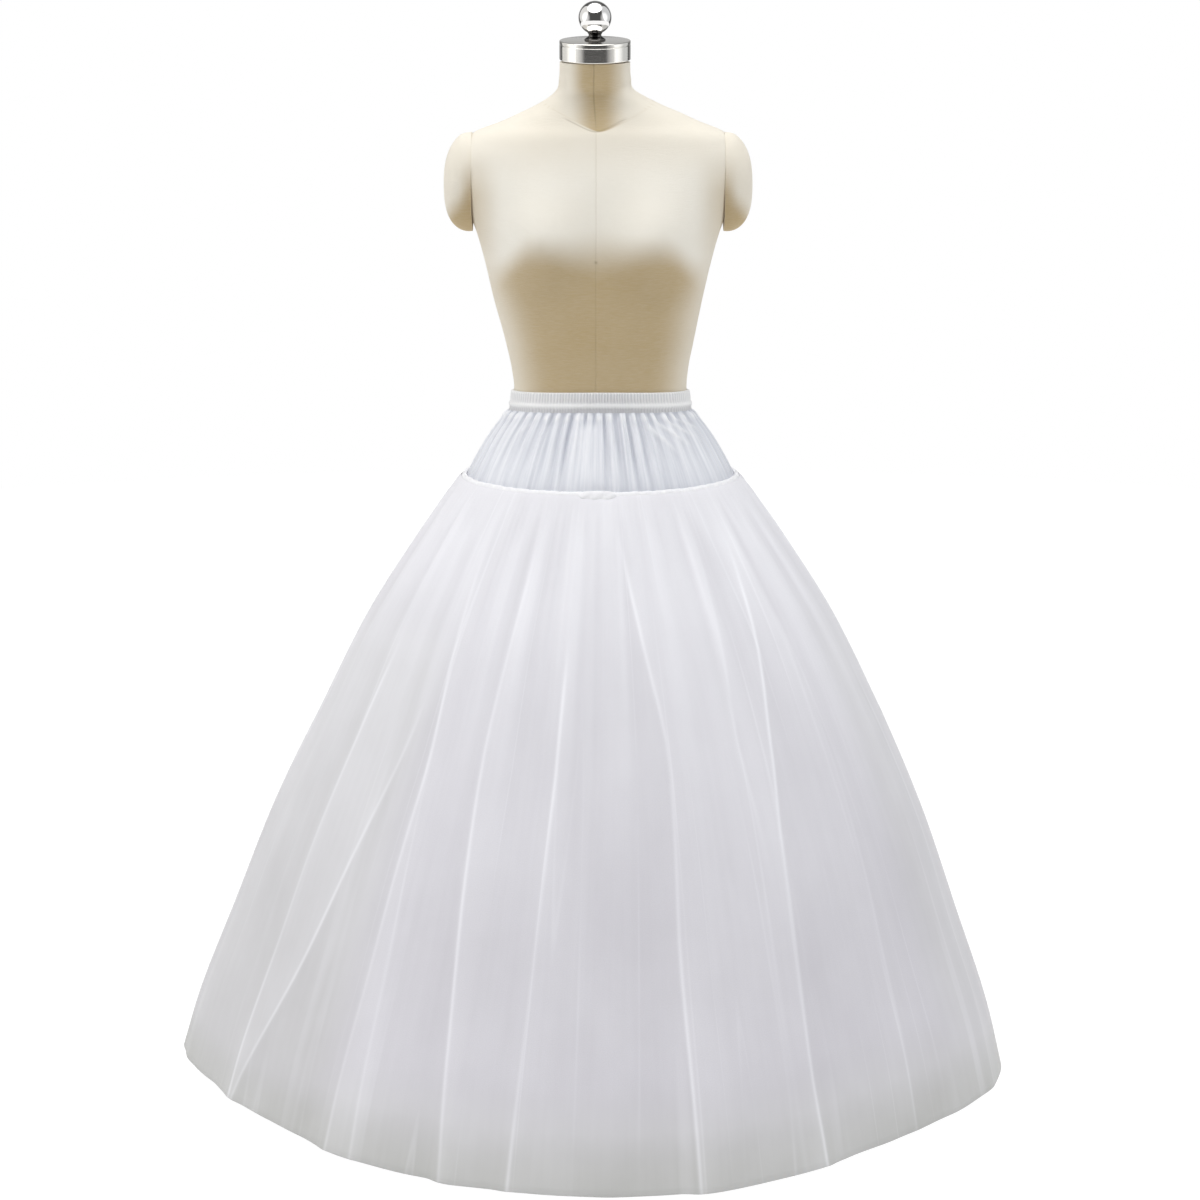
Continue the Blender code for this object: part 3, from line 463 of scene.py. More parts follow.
class Nodes:
    """A short way to write the nodes and links of a material or of the world."""

    def __init__(self, owner):
        owner.use_nodes = True
        self.owner = owner
        self.tree = owner.node_tree

    def add(self, kind, **settings):
        node = self.tree.nodes.new(kind)
        for key, value in settings.items():
            setattr(node, key, value)
        return node

    def put(self, socket, source):
        """Give a socket a number, a colour, or a link to another node's output."""
        if isinstance(source, bpy.types.NodeSocket):
            self.tree.links.new(source, socket)
        else:
            socket.default_value = (*source, 1.0) if socket.type == "RGBA" else source

    def fill(self, node, **inputs):
        for label, source in inputs.items():
            self.put(node.inputs[label.replace("_", " ")], source)
        return node

    def finish(self, **inputs):
        """Fill the material's own shader and return the material."""
        self.fill(self.tree.nodes["Principled BSDF"], **inputs)
        return self.owner

    def coordinates(self, kind, scale):
        place = self.add("ShaderNodeTexCoord").outputs[kind]
        scale = scale if isinstance(scale, tuple) else (scale, scale, scale)
        return self.fill(self.add("ShaderNodeMapping"), Vector=place, Scale=scale).outputs["Vector"]

    def noise(self, kind, scale, detail=3.0):
        """Noise over the UVs or the object's space, scaled alike or by one number for each axis."""
        node = self.add("ShaderNodeTexNoise")
        self.fill(node, Vector=self.coordinates(kind, scale), Scale=1.0, Detail=detail, Roughness=0.55)
        return node.outputs["Fac"]

    def wave(self, kind, scale, direction, distortion=0.0):
        node = self.add("ShaderNodeTexWave", bands_direction=direction)
        self.fill(node, Vector=self.coordinates(kind, 1.0), Scale=scale, Distortion=distortion, Detail=2.0)
        return node.outputs["Fac"]

    def math(self, operation, first, second=0.0, clamp=False):
        node = self.add("ShaderNodeMath", operation=operation, use_clamp=clamp)
        self.put(node.inputs[0], first)
        self.put(node.inputs[1], second)
        return node.outputs["Value"]

    def span(self, source, low, high, to_low, to_high):
        node = self.add("ShaderNodeMapRange")
        self.fill(node, Value=source, From_Min=low, From_Max=high, To_Min=to_low, To_Max=to_high)
        return node.outputs["Result"]

    def spread(self, noise, to_low, to_high):
        """Noise stays near its middle, so that part of it is spread over the whole range."""
        return self.span(noise, NOISE_LOW, NOISE_HIGH, to_low, to_high)

    def mix(self, factor, first, second):
        node = self.fill(self.add("ShaderNodeMix", data_type="RGBA"), Factor=factor)
        colours = [socket for socket in node.inputs if socket.type == "RGBA"]
        self.put(colours[0], first)
        self.put(colours[1], second)
        return [socket for socket in node.outputs if socket.type == "RGBA"][0]

    def mix_shaders(self, factor, first, second):
        node = self.add("ShaderNodeMixShader")
        for socket, source in zip(node.inputs, (factor, first.outputs[0], second.outputs[0])):
            self.put(socket, source)
        return node

    def attribute(self, label):
        return self.add("ShaderNodeAttribute", attribute_name=label).outputs["Fac"]

    def bump(self, height, distance, below=None):
        node = self.fill(self.add("ShaderNodeBump"), Height=height, Distance=distance, Strength=1.0)
        if below is not None:
            self.put(node.inputs["Normal"], below)
        return node.outputs["Normal"]


NOISE_LOW = 0.3
NOISE_HIGH = 0.7


def new_material(name):
    return Nodes(bpy.data.materials.new(name))


def tulle_material(name, plain, neutral, whiteness, alpha_low, alpha_high):
    """Fine net: whiter and more opaque where it is folded and where light is painted on, with faint threads
    that run down the cloth.
    """
    made = new_material(name)
    streaks = made.noise("UV", (120.0, 3.0, 1.0), detail=4.0)
    clouds = made.noise("UV", (7.0, 4.0, 1.0), detail=4.0)
    net = made.noise("UV", (900.0, 700.0, 1.0), detail=2.0)
    drawn = made.noise("UV", (17.0, 0.4, 1.0), detail=1.0)
    patches = made.noise("UV", (9.0, 2.4, 1.0), detail=2.0)
    level = made.math("ABSOLUTE", made.math("SUBTRACT", drawn, 0.5))
    strands = made.span(level, 0.0, 0.012, 1.0, 0.0)
    strands = made.math("MULTIPLY", strands, made.span(patches, 0.42, 0.62, 0.0, 0.11))
    amount = made.math("ADD", made.attribute("whiteness"), made.spread(streaks, -0.018, 0.018))
    amount = made.math("ADD", amount, strands)
    amount = made.math("ADD", amount, made.spread(clouds, -0.08, 0.08), clamp=True)
    tint = made.mix(made.attribute("plain"), plain, neutral)
    alpha = made.span(amount, 0.0, 1.0, alpha_low, alpha_high)
    alpha = made.math("ADD", alpha, made.spread(net, -0.03, 0.03), clamp=True)
    alpha = made.math("MAXIMUM", alpha, made.span(made.attribute("plain"), 0.0, 0.5, 0.88, 0.985))
    return made.finish(Base_Color=made.mix(amount, tint, whiteness), Alpha=alpha,
                       Normal=made.bump(streaks, 0.0001), Roughness=0.75, Sheen_Weight=0.25,
                       Sheen_Roughness=0.4, Specular_IOR_Level=0.25)


def satin_material(name, colour, fold_colour):
    """Gathered satin in two close tones, with painted shade in its valleys and painted highlights on the
    crowns of its heads.
    """
    made = new_material(name)
    weave = made.noise("UV", (500.0, 60.0, 1.0))
    clouds = made.noise("UV", (9.0, 6.0, 1.0))
    streaks = made.noise("UV", (190.0, 9.0, 1.0))
    pale = made.span(streaks, 0.35, 0.65, -0.3, 0.5)
    pale = made.math("ADD", made.spread(clouds, 0.0, 0.7), pale, clamp=True)
    base = made.mix(pale, colour, fold_colour)
    # Painted shade in bluish grey, then a near-white painted highlight.
    base = made.mix(made.math("MULTIPLY", made.attribute("valley"), 0.65), base, (0.44, 0.46, 0.53))
    base = made.mix(made.attribute("crown"), base, (0.98, 0.985, 1.0))
    return made.finish(Base_Color=base, Roughness=made.spread(weave, 0.34, 0.46),
                       Normal=made.bump(weave, 0.0003), Sheen_Weight=0.2, Sheen_Roughness=0.35,
                       Specular_IOR_Level=0.45)


def elastic_material():
    made = new_material("ruched_elastic")
    below = made.bump(made.noise("UV", 900.0), 0.0003)
    # The band is painted grey where shade is painted: in its recess, between its ruches and across the front.
    return made.finish(Base_Color=made.mix(made.attribute("valley"), (0.90, 0.90, 0.90), (0.63, 0.63, 0.65)),
                       Normal=made.bump(made.wave("UV", 230.0, "Y"), 0.00005, below=below),
                       Roughness=0.6, Sheen_Weight=0.2, Specular_IOR_Level=0.35)


def binding_material():
    made = new_material("rolled_binding")
    twist = made.noise("UV", 160.0)
    below = made.bump(made.noise("Object", 900.0, detail=4.0), 0.0004)
    colour = made.mix(made.spread(twist, 0.0, 1.0), (0.84, 0.84, 0.87), (0.92, 0.92, 0.94))
    return made.finish(Base_Color=colour, Normal=made.bump(twist, 0.0002, below=below),
                       Roughness=0.85, Sheen_Weight=0.4, Sheen_Roughness=0.5, Specular_IOR_Level=0.2)


def linen_material():
    """Stretched tan linen with painted light and shade: painted cream where light falls on the chest, on the
    shoulders and at the sides, and tan as painted shade elsewhere.
    """
    made = new_material("cream_linen")
    weave = made.math("MULTIPLY", made.wave("Object", 420.0, "X", 1.5), made.wave("Object", 420.0, "Z", 1.5))
    slub = made.noise("Object", (90.0, 90.0, 900.0))
    clouds = made.noise("Object", 7.0)
    # Cream painted light and tan painted shade, mixed by the point values, with a little cloudy variation.
    painted_light = made.math("ADD", made.attribute("painted_light"), made.spread(clouds, -0.04, 0.04), clamp=True)
    base = made.mix(painted_light, (0.545, 0.415, 0.225), (0.99, 0.955, 0.865))
    base = made.mix(made.span(slub, 0.35, 0.75, 0.0, 0.12), base, (0.88, 0.84, 0.73))
    base = made.mix(made.attribute("seam"), base, (0.36, 0.28, 0.17))
    return made.finish(Base_Color=base, Normal=made.bump(slub, 0.0003, below=made.bump(weave, 0.0002)),
                       Roughness=0.8, Sheen_Weight=0.15, Sheen_Roughness=0.5, Specular_IOR_Level=0.25)


def chrome_material(name, colour, smooth, brushed, axis_scale):
    made = new_material(name)
    lines = made.noise("Object", axis_scale, detail=4.0)
    # Marked points are painted near black, a painted reflection of the dim studio.
    return made.finish(Base_Color=made.mix(made.attribute("painted_reflection"), colour, (0.10, 0.095, 0.09)),
                       Roughness=made.spread(lines, smooth, brushed),
                       Normal=made.bump(lines, 0.00001), Metallic=1.0)


def iron_material():
    made = new_material("black_base")
    grain = made.noise("Object", 350.0, detail=5.0)
    return made.finish(Base_Color=made.mix(grain, (0.025, 0.025, 0.028), (0.06, 0.06, 0.065)),
                       Roughness=made.spread(grain, 0.42, 0.6), Normal=made.bump(grain, 0.0003))


def floor_material():
    made = new_material("pale_floor")
    grain = made.noise("Object", 0.6)
    return made.finish(Base_Color=made.mix(grain, (0.10, 0.10, 0.10), (0.12, 0.12, 0.12)), Roughness=1.0,
                       Specular_IOR_Level=0.0, Emission_Color=(1.0, 1.0, 1.0), Emission_Strength=0.97)


def finish_piece(piece, slot, *nodes):
    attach(piece, "root")
    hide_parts(*nodes)
    return piece


def binding_sway(angle):
    """How far the binding wanders up and down, which the tulle's top edge follows."""
    return 0.0006 * uneven(angle, 53, (5, 9, 16, 23))


TULLE_OVER_BINDING = 0.0042
TULLE_EDGE_STAND = 0.0001
# The outer tulle's own waves: how many, how far they stand out, and how much whiter their crests are
GATHERS, WIDE_GATHERS, WEDGES, SLACK = table(
    "number height white",
    (130, 0.0003, 0.02),
    (47, 0.0006, 0.05),
    (26, 0.0012, 0.17),
    (17, 0.0014, 0.0),
)


def tulle_points(angle, fraction):
    """Points of the outer tulle, with its fine gathers below the binding, and how white the cloth is where it
    doubles and where light and shade are painted on.
    """
    height = BELL_TOP + (HEM - BELL_TOP) * fraction
    reach, lean = bell_plan(angle, height, bell_half_width(height) - BELL_STAND)
    lift, whiteness = fold_relief(angle, fraction, reach)
    gathers = np.cos(uneven_waves(angle, GATHERS.number, 11)) * (0.6 + 0.4 * uneven(angle, 12, (5, 9, 14)))
    gathers = gathers * np.exp(-fraction / 0.16) * ease(fraction, 0.0, 0.012)
    wide = np.cos(uneven_waves(angle, WIDE_GATHERS.number, 13))
    wide = wide * np.exp(-fraction / 0.35) * ease(fraction, 0.0, 0.05)
    leaning = angle + 0.10 * fraction * np.sin(3.0 * angle)
    drawn = 0.5 + 0.5 * np.cos(uneven_waves(leaning, WEDGES.number, 17))
    wedges = (drawn ** 2 - 0.38) * ease(fraction, 0.015, 0.09) * np.exp(-(fraction / 0.34) ** 2)
    slack = np.cos(uneven_waves(angle, SLACK.number, 15) + 1.2 * fraction) * ease(fraction, 0.25, 0.9)
    edge = 1.0 - ease(fraction, 0.0, 0.012)
    reach = reach + BELL_STAND + lift + TULLE_EDGE_STAND * edge
    for wave, shape in ((GATHERS, gathers), (WIDE_GATHERS, wide), (SLACK, slack), (WEDGES, wedges)):
        reach = reach + wave.height * shape
        whiteness = whiteness + wave.white * shape
    # Whiter towards the top, partly doubled cloth of the gathers and partly painted light from above; painted
    # shade darkens the net above the hem.
    whiteness = whiteness + 0.05 + 0.66 * np.exp(-(fraction / 0.45) ** 1.2) - 0.08 * ease(fraction, 0.88, 1.0)
    height = height - hem_drop(angle) * fraction ** 4 + (TULLE_OVER_BINDING + binding_sway(angle)) * edge
    return around(angle, reach, height, lean), whiteness


def neutral_tone(angle, fraction):
    """1 where only the neutral outer net shows, 0 where the lilac inner tier shows through it."""
    hem = ease(fraction, 0.82, 1.0)
    from_front = np.degrees(angle_between(angle, FRONT))
    left = ease(from_front, -38.0, -52.0)
    right = ease(from_front, 62.0, 74.0)
    side = np.maximum(left, 0.7 * right) * (1.0 - 0.6 * ease(np.sin(angle), -0.2, 0.4))
    return np.clip(np.maximum(hem, 0.62 * side * ease(fraction, 0.10, 0.30)), 0.0, 1.0)


TULLE_ROWS = 104
TULLE_COLUMNS = 820
HEM_ROLL_RADIUS = 0.0009


def tulle_half(first):
    """Half of the bell from a first angle on, its lower edge rolled inwards."""
    fraction = np.linspace(0.0, 1.0, TULLE_ROWS)[:, None] ** 1.15
    trim = 0.5 * SEAM_GAP / bell_half_width(BELL_TOP + (HEM - BELL_TOP) * fraction)
    angle = panel_columns(first + trim, first + math.pi - trim, fraction, TULLE_COLUMNS)
    points, whiteness = tulle_points(angle, np.broadcast_to(fraction, angle.shape))
    plain = neutral_tone(angle, fraction)
    end, out = points[-1], normals_of(points, closed=False)[-1]
    down = points[-1] - points[-2]
    down /= np.linalg.norm(down, axis=-1, keepdims=True)
    roll = []
    for turn in np.radians([60.0, 120.0, 180.0, 240.0, 300.0]):
        roll.append(end + HEM_ROLL_RADIUS * (down * math.sin(turn) - out * (1.0 - math.cos(turn))))
    points = np.concatenate([points, np.array(roll)])
    whiteness = np.concatenate([whiteness, np.repeat(whiteness[-1:], len(roll), axis=0)])
    angle = np.concatenate([angle, np.repeat(angle[-1:], len(roll), axis=0)])
    plain = np.concatenate([plain, np.ones((len(roll), angle.shape[1]))])
    return angle, points, {"whiteness": np.clip(whiteness, 0.0, 1.0), "plain": plain}


TIER_ROWS = 49
TIER_COLUMNS = 480
TIER_TRIM = 0.0008


def tier_half(first):
    """Half of the inner tier from a first angle on, in broad waves with finer gathers below its seam."""
    fraction = np.linspace(0.0, 1.0, TIER_ROWS)[:, None]
    angle = even_half(first, TIER_TRIM, TIER_ROWS, TIER_COLUMNS)
    angle, fraction = np.broadcast_arrays(angle, fraction)
    height = TIER_SEAM + (INNER_HEM - TIER_SEAM) * fraction
    reach, lean = bell_plan(angle, height, tier_half_width(height))
    grown = ease(fraction, 0.0, 0.25)
    waves = np.cos(uneven_waves(angle, TIER_WAVES, 21, drift=0.2))
    fine = np.cos(uneven_waves(angle, 110, 23)) * np.exp(-fraction / 0.22)
    reach = reach + 0.0020 * waves * grown + 0.0009 * fine
    whiteness = 0.25 + 0.35 * np.maximum(fine, 0.0) + 0.25 * np.maximum(waves, 0.0) ** 3 * grown
    return angle, around(angle, reach, height, lean), {"whiteness": np.clip(whiteness, 0.0, 1.0)}


# Diagonal creases of the yoke: start and end as (angle in degrees, height), how high and how wide
YOKE_CREASES = table(
    "start end lift width",
    ((-58.0, 0.9420), (-40.0, 0.9020), 0.0020, 0.0026),
    ((-51.0, 0.9450), (-30.0, 0.9100), 0.0022, 0.0024),
    ((-44.0, 0.9460), (-23.0, 0.9190), 0.0020, 0.0022),
    ((-36.0, 0.9470), (-16.0, 0.9290), 0.0016, 0.0020),
    ((-139.0, 0.9440), (-150.0, 0.9200), 0.0010, 0.0022),
    ((60.0, 0.9440), (46.0, 0.9180), 0.0014, 0.0022),
    ((128.0, 0.9440), (141.0, 0.9200), 0.0014, 0.0022),
)

# How deep the yoke's folds are by angle in degrees: shallow at the left, flat beside the middle, then strong
YOKE_FOLDS = (
    (-180.0, 0.60), (-160.0, 0.62), (-140.0, 0.66), (-124.0, 0.74), (-113.0, 1.05), (-107.0, 0.80),
    (-103.0, 0.16), (-94.0, 0.12), (-90.0, 0.80), (-80.0, 1.15), (-66.0, 1.00), (-55.0, 0.70),
    (-38.0, 0.40), (-10.0, 0.55), (15.0, 0.90), (32.0, 0.45), (50.0, 0.80), (72.0, 1.05), (84.0, 0.50),
    (98.0, 0.95), (115.0, 0.60), (138.0, 1.00), (156.0, 0.45), (170.0, 0.80), (180.0, 0.50),
)


def crease_relief(angle, height, reach, creases):
    """Soft ridges along straight lines on the unrolled cloth, tapered at both ends."""
    lift = np.zeros_like(angle)
    for crease in creases:
        start_angle, end_angle = math.radians(crease.start[0]), math.radians(crease.end[0])
        rise = crease.end[1] - crease.start[1]
        along_x = (end_angle - start_angle) * reach
        length = np.hypot(along_x, rise)
        x = angle_between(angle, start_angle) * reach
        y = height - crease.start[1]
        share = (x * along_x + y * rise) / length ** 2
        away = (x * rise - y * along_x) / length
        taper = ease(share, -0.05, 0.25) * (1.0 - ease(share, 0.55, 1.05))
        lift = lift + crease.lift * taper * bump(away, crease.width)
    return lift


def waist_reach(angle, height):
    """How far out the form's waist is, with the clearance that the cloth keeps from it."""
    half_width = form_column["half_width"](height)
    return ellipse_reach(angle, half_width, half_width * WAIST_DEPTH_RATIO) + FORM_CLEARANCE


def gather_phase(angle):
    """Phase of the gathers that the yoke and the waistband's lower edge share."""
    return uneven_waves(angle, YOKE_GATHERS, 31, drift=0.22)


YOKE_FOLD_DEPTH = 0.0042
YOKE_FINE_FOLD = 0.0009
HEAD_HEIGHT = 0.0018
HEAD_TUCK = 0.0034
HEAD_DROP = 0.005
YOKE_OVER_FORM = 0.0026


def yoke_points(angle, fraction):
    """Points of the gathered satin: heads that bulge below the band, and folds that fade towards the seam,
    with its painted shade and painted highlights.
    """
    height = HEADS_TOP + (YOKE_BOTTOM - HEADS_TOP) * fraction
    reach, lean = bell_plan(angle, height, yoke_half_width(height))
    below = ease(height, YOKE_SEAM - 0.060, YOKE_SEAM)
    drawn = 0.30 + 0.70 * ease(height, YOKE_SEAM, YOKE_TOP)
    phase = gather_phase(angle) + 0.5 * np.sin(55.0 * height + 9.0 * angle)
    head = 0.5 + 0.5 * np.cos(phase)
    head = 0.75 * head + 0.25 * (0.5 + 0.5 * np.cos(uneven_waves(angle, 97, 37, drift=0.4)))
    folds = head ** 0.7 - 1.0
    strong = np.interp(np.degrees(angle), *zip(*YOKE_FOLDS))
    top = 1.0 - ease(HEADS_TOP - height, 0.004, 0.022)
    strong = strong + (1.0 - strong) * top
    depth = YOKE_FOLD_DEPTH * strong
    heads = HEAD_HEIGHT * head * bump(height - (HEADS_TOP - HEAD_DROP), 0.005)
    heads = heads - HEAD_TUCK * (1.0 - ease(HEADS_TOP - height, 0.0, 0.0035))
    fine = YOKE_FINE_FOLD * np.cos(uneven_waves(angle, 101, 35)) * ease(height, YOKE_SEAM - 0.04, YOKE_TOP)
    fine = fine * np.clip(0.2 + strong, 0.0, 1.0)
    creases = crease_relief(angle, height, reach, YOKE_CREASES)
    reach = reach + (depth * folds * drawn + heads + fine + creases) * below
    touching = waist_reach(angle, height) + YOKE_OVER_FORM
    reach = np.where(height > YOKE_TOP - 0.002, np.maximum(reach, touching), reach)
    lift = waist_lift(height, angle) + 0.0010 * (head - 0.5) * top
    # Painted shade in the fold valleys, towards the seam under the binding, and on the right front.
    valley = np.clip(1.6 * (1.0 - head) ** 2 * np.minimum(1.0, drawn * strong + 0.3 * top) * below, 0.0, 1.0)
    right = ease(angle_between(angle, math.radians(-52.0)), -0.35, 0.35) * (np.sin(angle) < 0.0)
    valley = valley + 0.20 * (1.0 - ease(height, 0.868, 0.900)) + 0.12 * right
    # Painted highlight on the crowns of the heads and along the creases.
    crown = 0.9 * head ** 2 * bump(height - (HEADS_TOP - 0.0065), 0.0035)
    crown = np.maximum(crown, 0.35 * np.minimum(1.0, creases / 0.0016))
    shades = {"valley": np.clip(valley, 0.0, 1.0), "crown": np.clip(crown, 0.0, 1.0)}
    return around(angle, reach, height + lift, lean), shades


YOKE_ROWS = 65
YOKE_COLUMNS = 560
YOKE_TRIM = 0.0009


def yoke_half(first):
    """Half of the gathered yoke from a first angle on, its rows closest together at the top."""
    fraction = np.linspace(0.0, 1.0, YOKE_ROWS)[:, None] ** 1.25
    angle = even_half(first, YOKE_TRIM, YOKE_ROWS, YOKE_COLUMNS)
    return angle, *yoke_points(angle, np.broadcast_to(fraction, angle.shape))


# The waistband from the top down: how far down, how far it stands out, how deep its ruffles are, and how much
# painted shade darkens it
BAND_ROWS = table(
    "height stand ruffle shade",
    (0.0000, 0.0012, 0.0001, 0.0),
    (-0.0006, 0.0026, 0.0003, 0.0),
    (-0.0018, 0.0030, 0.0006, 0.05),
    (-0.0060, 0.0031, 0.0007, 0.10),
    (-0.0120, 0.0030, 0.0006, 0.15),
    (-0.0140, 0.0030, 0.0003, 0.15),
    (-0.0156, 0.0038, 0.0001, 0.05),
    (-0.0176, 0.0044, 0.0001, 0.05),
    (-0.0196, 0.0038, 0.0002, 0.15),
    (-0.0214, 0.0026, 0.0003, 0.45),
    (-0.0240, 0.0020, 0.0004, 0.65),
    (-0.0270, 0.0018, 0.0004, 0.60),
    (-0.0295, 0.0018, 0.0003, 0.60),
    (-0.0310, 0.0016, 0.0003, 0.60),
)


def add_waistband(finish):
    """Cased elastic: a bright rim, a finely ruched band, a smooth ridge, a ruched recess and a lower edge."""
    columns = 1036
    rows = 44
    drop = np.linspace(0.0, BAND_WIDTH, rows)[:, None]
    angle = whole_round(columns)
    angle = np.broadcast_to(angle, (rows, columns))
    drop = np.broadcast_to(drop, angle.shape)
    stand = curve_through(BAND_ROWS, "stand")(-drop)
    ruffle = curve_through(BAND_ROWS, "ruffle")(-drop)
    shade = curve_through(BAND_ROWS, "shade")(-drop)
    phase = uneven_waves(angle, BAND_RUCHES, 41, drift=0.3)
    gather = np.cos(gather_phase(angle))
    height = WAIST_TOP - drop
    reach = waist_reach(angle, height) + stand + ruffle * np.cos(phase)
    reach = reach + 0.0003 * gather * ease(drop, 0.026, BAND_WIDTH)
    # Painted shade across the middle of the front.
    middle = bump(angle_between(angle, math.radians(-84.0)), math.radians(32.0))
    shade = shade + (0.22 + 0.6 * shade) * middle
    # Painted shade between the ruches, added to that of the rows and the middle.
    valley = np.clip(shade + (0.5 - 0.5 * np.cos(phase)) * ruffle / 0.0012, 0.0, 1.0)
    tilt = waist_lift(height, angle)
    outer = around(angle, reach, height + tilt)
    back = around(angle, waist_reach(angle, height), height + tilt)
    picked = np.linspace(0, rows - 1, 6).astype(int)
    points = np.concatenate([outer, back[picked][::-1], outer[:1]])
    valley = np.concatenate([valley, np.zeros((len(picked), columns)), valley[:1]])
    heights = np.concatenate([height, height[picked][::-1], height[:1]])
    angles = np.repeat(angle[:1], len(points), axis=0)
    uv = metres_uv(angles, heights, BAND_UV_RADIUS)
    piece = grid_piece("elastic_band", points, finish, closed=True, uv=uv, shades={"valley": valley})
    return finish_piece(piece, "elastic", "waistband")


def binding_points(angle, out, up):
    height = YOKE_SEAM + up
    reach, lean = bell_plan(angle, height, yoke_half_width(height))
    reach = reach + 2.0 * SEAM_GAP + BINDING_THICKNESS / 2.0 + out
    return around(angle, reach, height, lean)


LUMP_HEIGHT = 0.00024
FINE_LUMP_HEIGHT = 0.00012


def add_binding(finish):
    """The soft rolled binding, a little lumpy, with the twist of a hand-rolled edge."""
    columns = 1100
    sides = 20
    angle = whole_round(columns)
    corner = np.linspace(0.0, -FULL_TURN, sides + 1)[:, None]
    angle, corner = np.broadcast_arrays(angle, corner)
    lumps = LUMP_HEIGHT * np.cos(uneven_waves(angle, 61, 51) + corner)
    lumps = lumps + FINE_LUMP_HEIGHT * np.cos(uneven_waves(angle, 207, 52) - corner)
    out = (0.5 * BINDING_THICKNESS + lumps) * np.cos(corner)
    up = (0.5 * BINDING_HEIGHT + lumps) * np.sin(corner) + binding_sway(angle)
    points = binding_points(angle, out, up)
    uv = metres_uv(angle, corner * BINDING_UV_GIRTH, BINDING_UV_RADIUS)
    piece = grid_piece("rolled_binding_roll", points, finish, closed=True, uv=uv)
    return finish_piece(piece, "binding", "seam_binding")


TAB_CENTRE = math.radians(-91.5)
TAB_HALF_SPAN = math.radians(9.5)
TAB_HALF_HEIGHT = 0.0056
TAB_LIFT = 0.0012
TAB_STAND = 0.0021
TAB_CROWN = 0.0010
TAB_THICKNESS = 0.0009


def add_binding_lap(finish):
    """The binding's lapped end at the centre front, a thin tab with rounded ends and a turned edge."""
    columns, rows = 96, 14
    share = np.linspace(-1.0, 1.0, columns + 1)[None, :]
    down = np.linspace(-1.0, 1.0, rows)[:, None]
    share, down = np.broadcast_arrays(share, down)
    half_height = TAB_HALF_HEIGHT * np.sqrt(np.maximum(0.02, 1.0 - share ** 4))
    up = -half_height * down + TAB_LIFT
    curve = TAB_CROWN * (1.0 - down ** 2) + 0.0004 * np.cos(9.0 * share + 2.0 * down)
    rim = -0.0008 * ease(np.abs(down), 0.75, 1.0) - 0.0010 * ease(np.abs(share), 0.90, 1.0)
    out = BINDING_THICKNESS / 2.0 + SEAM_GAP + TAB_STAND + curve + rim
    angle = TAB_CENTRE + TAB_HALF_SPAN * share
    outer = binding_points(angle, out, up)
    inner = binding_points(angle, out - TAB_THICKNESS, up)
    uv = metres_uv(angle, up, BINDING_UV_RADIUS)
    points = np.concatenate([outer, inner[::-1], outer[:1]])
    tab = grid_piece("binding_tab", points, finish, uv=np.concatenate([uv, uv[::-1], uv[:1]]))
    return finish_piece(tab, "binding", "binding_lap")


def form_points(angle, height):
    """Points of the torso, its armholes cut flat and its bust standing out of the front."""
    column = {name: values(height) for name, values in form_column.items()}
    cosine = np.cos(angle)
    power = column["square"]
    sine = np.sign(np.sin(angle)) * np.sqrt(np.maximum(0.0, 1.0 - np.abs(cosine) ** power))
    x = column["half_width"] * cosine
    depth = np.where(sine > 0.0, column["back"], column["front"])
    y = depth * np.sign(sine) * np.abs(sine) ** (2.0 / power)
    fall = np.where(height > BUST_HEIGHT, BUST_RISE, BUST_FALL)
    bust = BUST_DEPTH * bump(np.abs(x) - BUST_SPREAD, BUST_HALF_WIDTH) * bump(height - BUST_HEIGHT, fall)
    y = y - bust * np.clip(-BUST_WRAP * sine, 0.0, 1.0)
    x = x + column["centre_x"]
    flat = np.clip(x, ARMHOLE_CENTRE_X - ARMHOLE_HALF_WIDTH, ARMHOLE_CENTRE_X + ARMHOLE_HALF_WIDTH)
    x = np.where(height > ARMHOLE_BOTTOM, flat, x)
    lift = waist_lift(height, np.arctan2(sine, cosine))
    return stack(x, y + column["centre_y"], height + lift)


# The form's vertical seams, by their angle in degrees, and how dark each one is
FORM_SEAMS = table("angle shade", (-90.0, 0.32), (90.0, 0.40), (0.0, 0.25), (180.0, 0.25))
SEAM_HALF_WIDTH = 0.0009
NECK_SEAM_LOW = 1.3250
NECK_SEAM_RISE = 0.52
NECK_SEAM_ROUND = 0.010
NECK_SEAM_REACH = 0.044
BUST_PIN = 1.1595
FRONT_SEAM_X = -0.0057
NECK_FRONT_SEAM_X = -0.0087


def front_seam_x(height):
    """Where the front seam runs: a little to one side, and more so on the neck."""
    return FRONT_SEAM_X + (NECK_FRONT_SEAM_X - FRONT_SEAM_X) * ease(height, 1.320, 1.375)


def neck_seam_height(across):
    """Height of the seam at the neck's base, a rounded V, by the distance from the front seam."""
    return NECK_SEAM_LOW + NECK_SEAM_RISE * (np.hypot(across, NECK_SEAM_ROUND) - NECK_SEAM_ROUND)


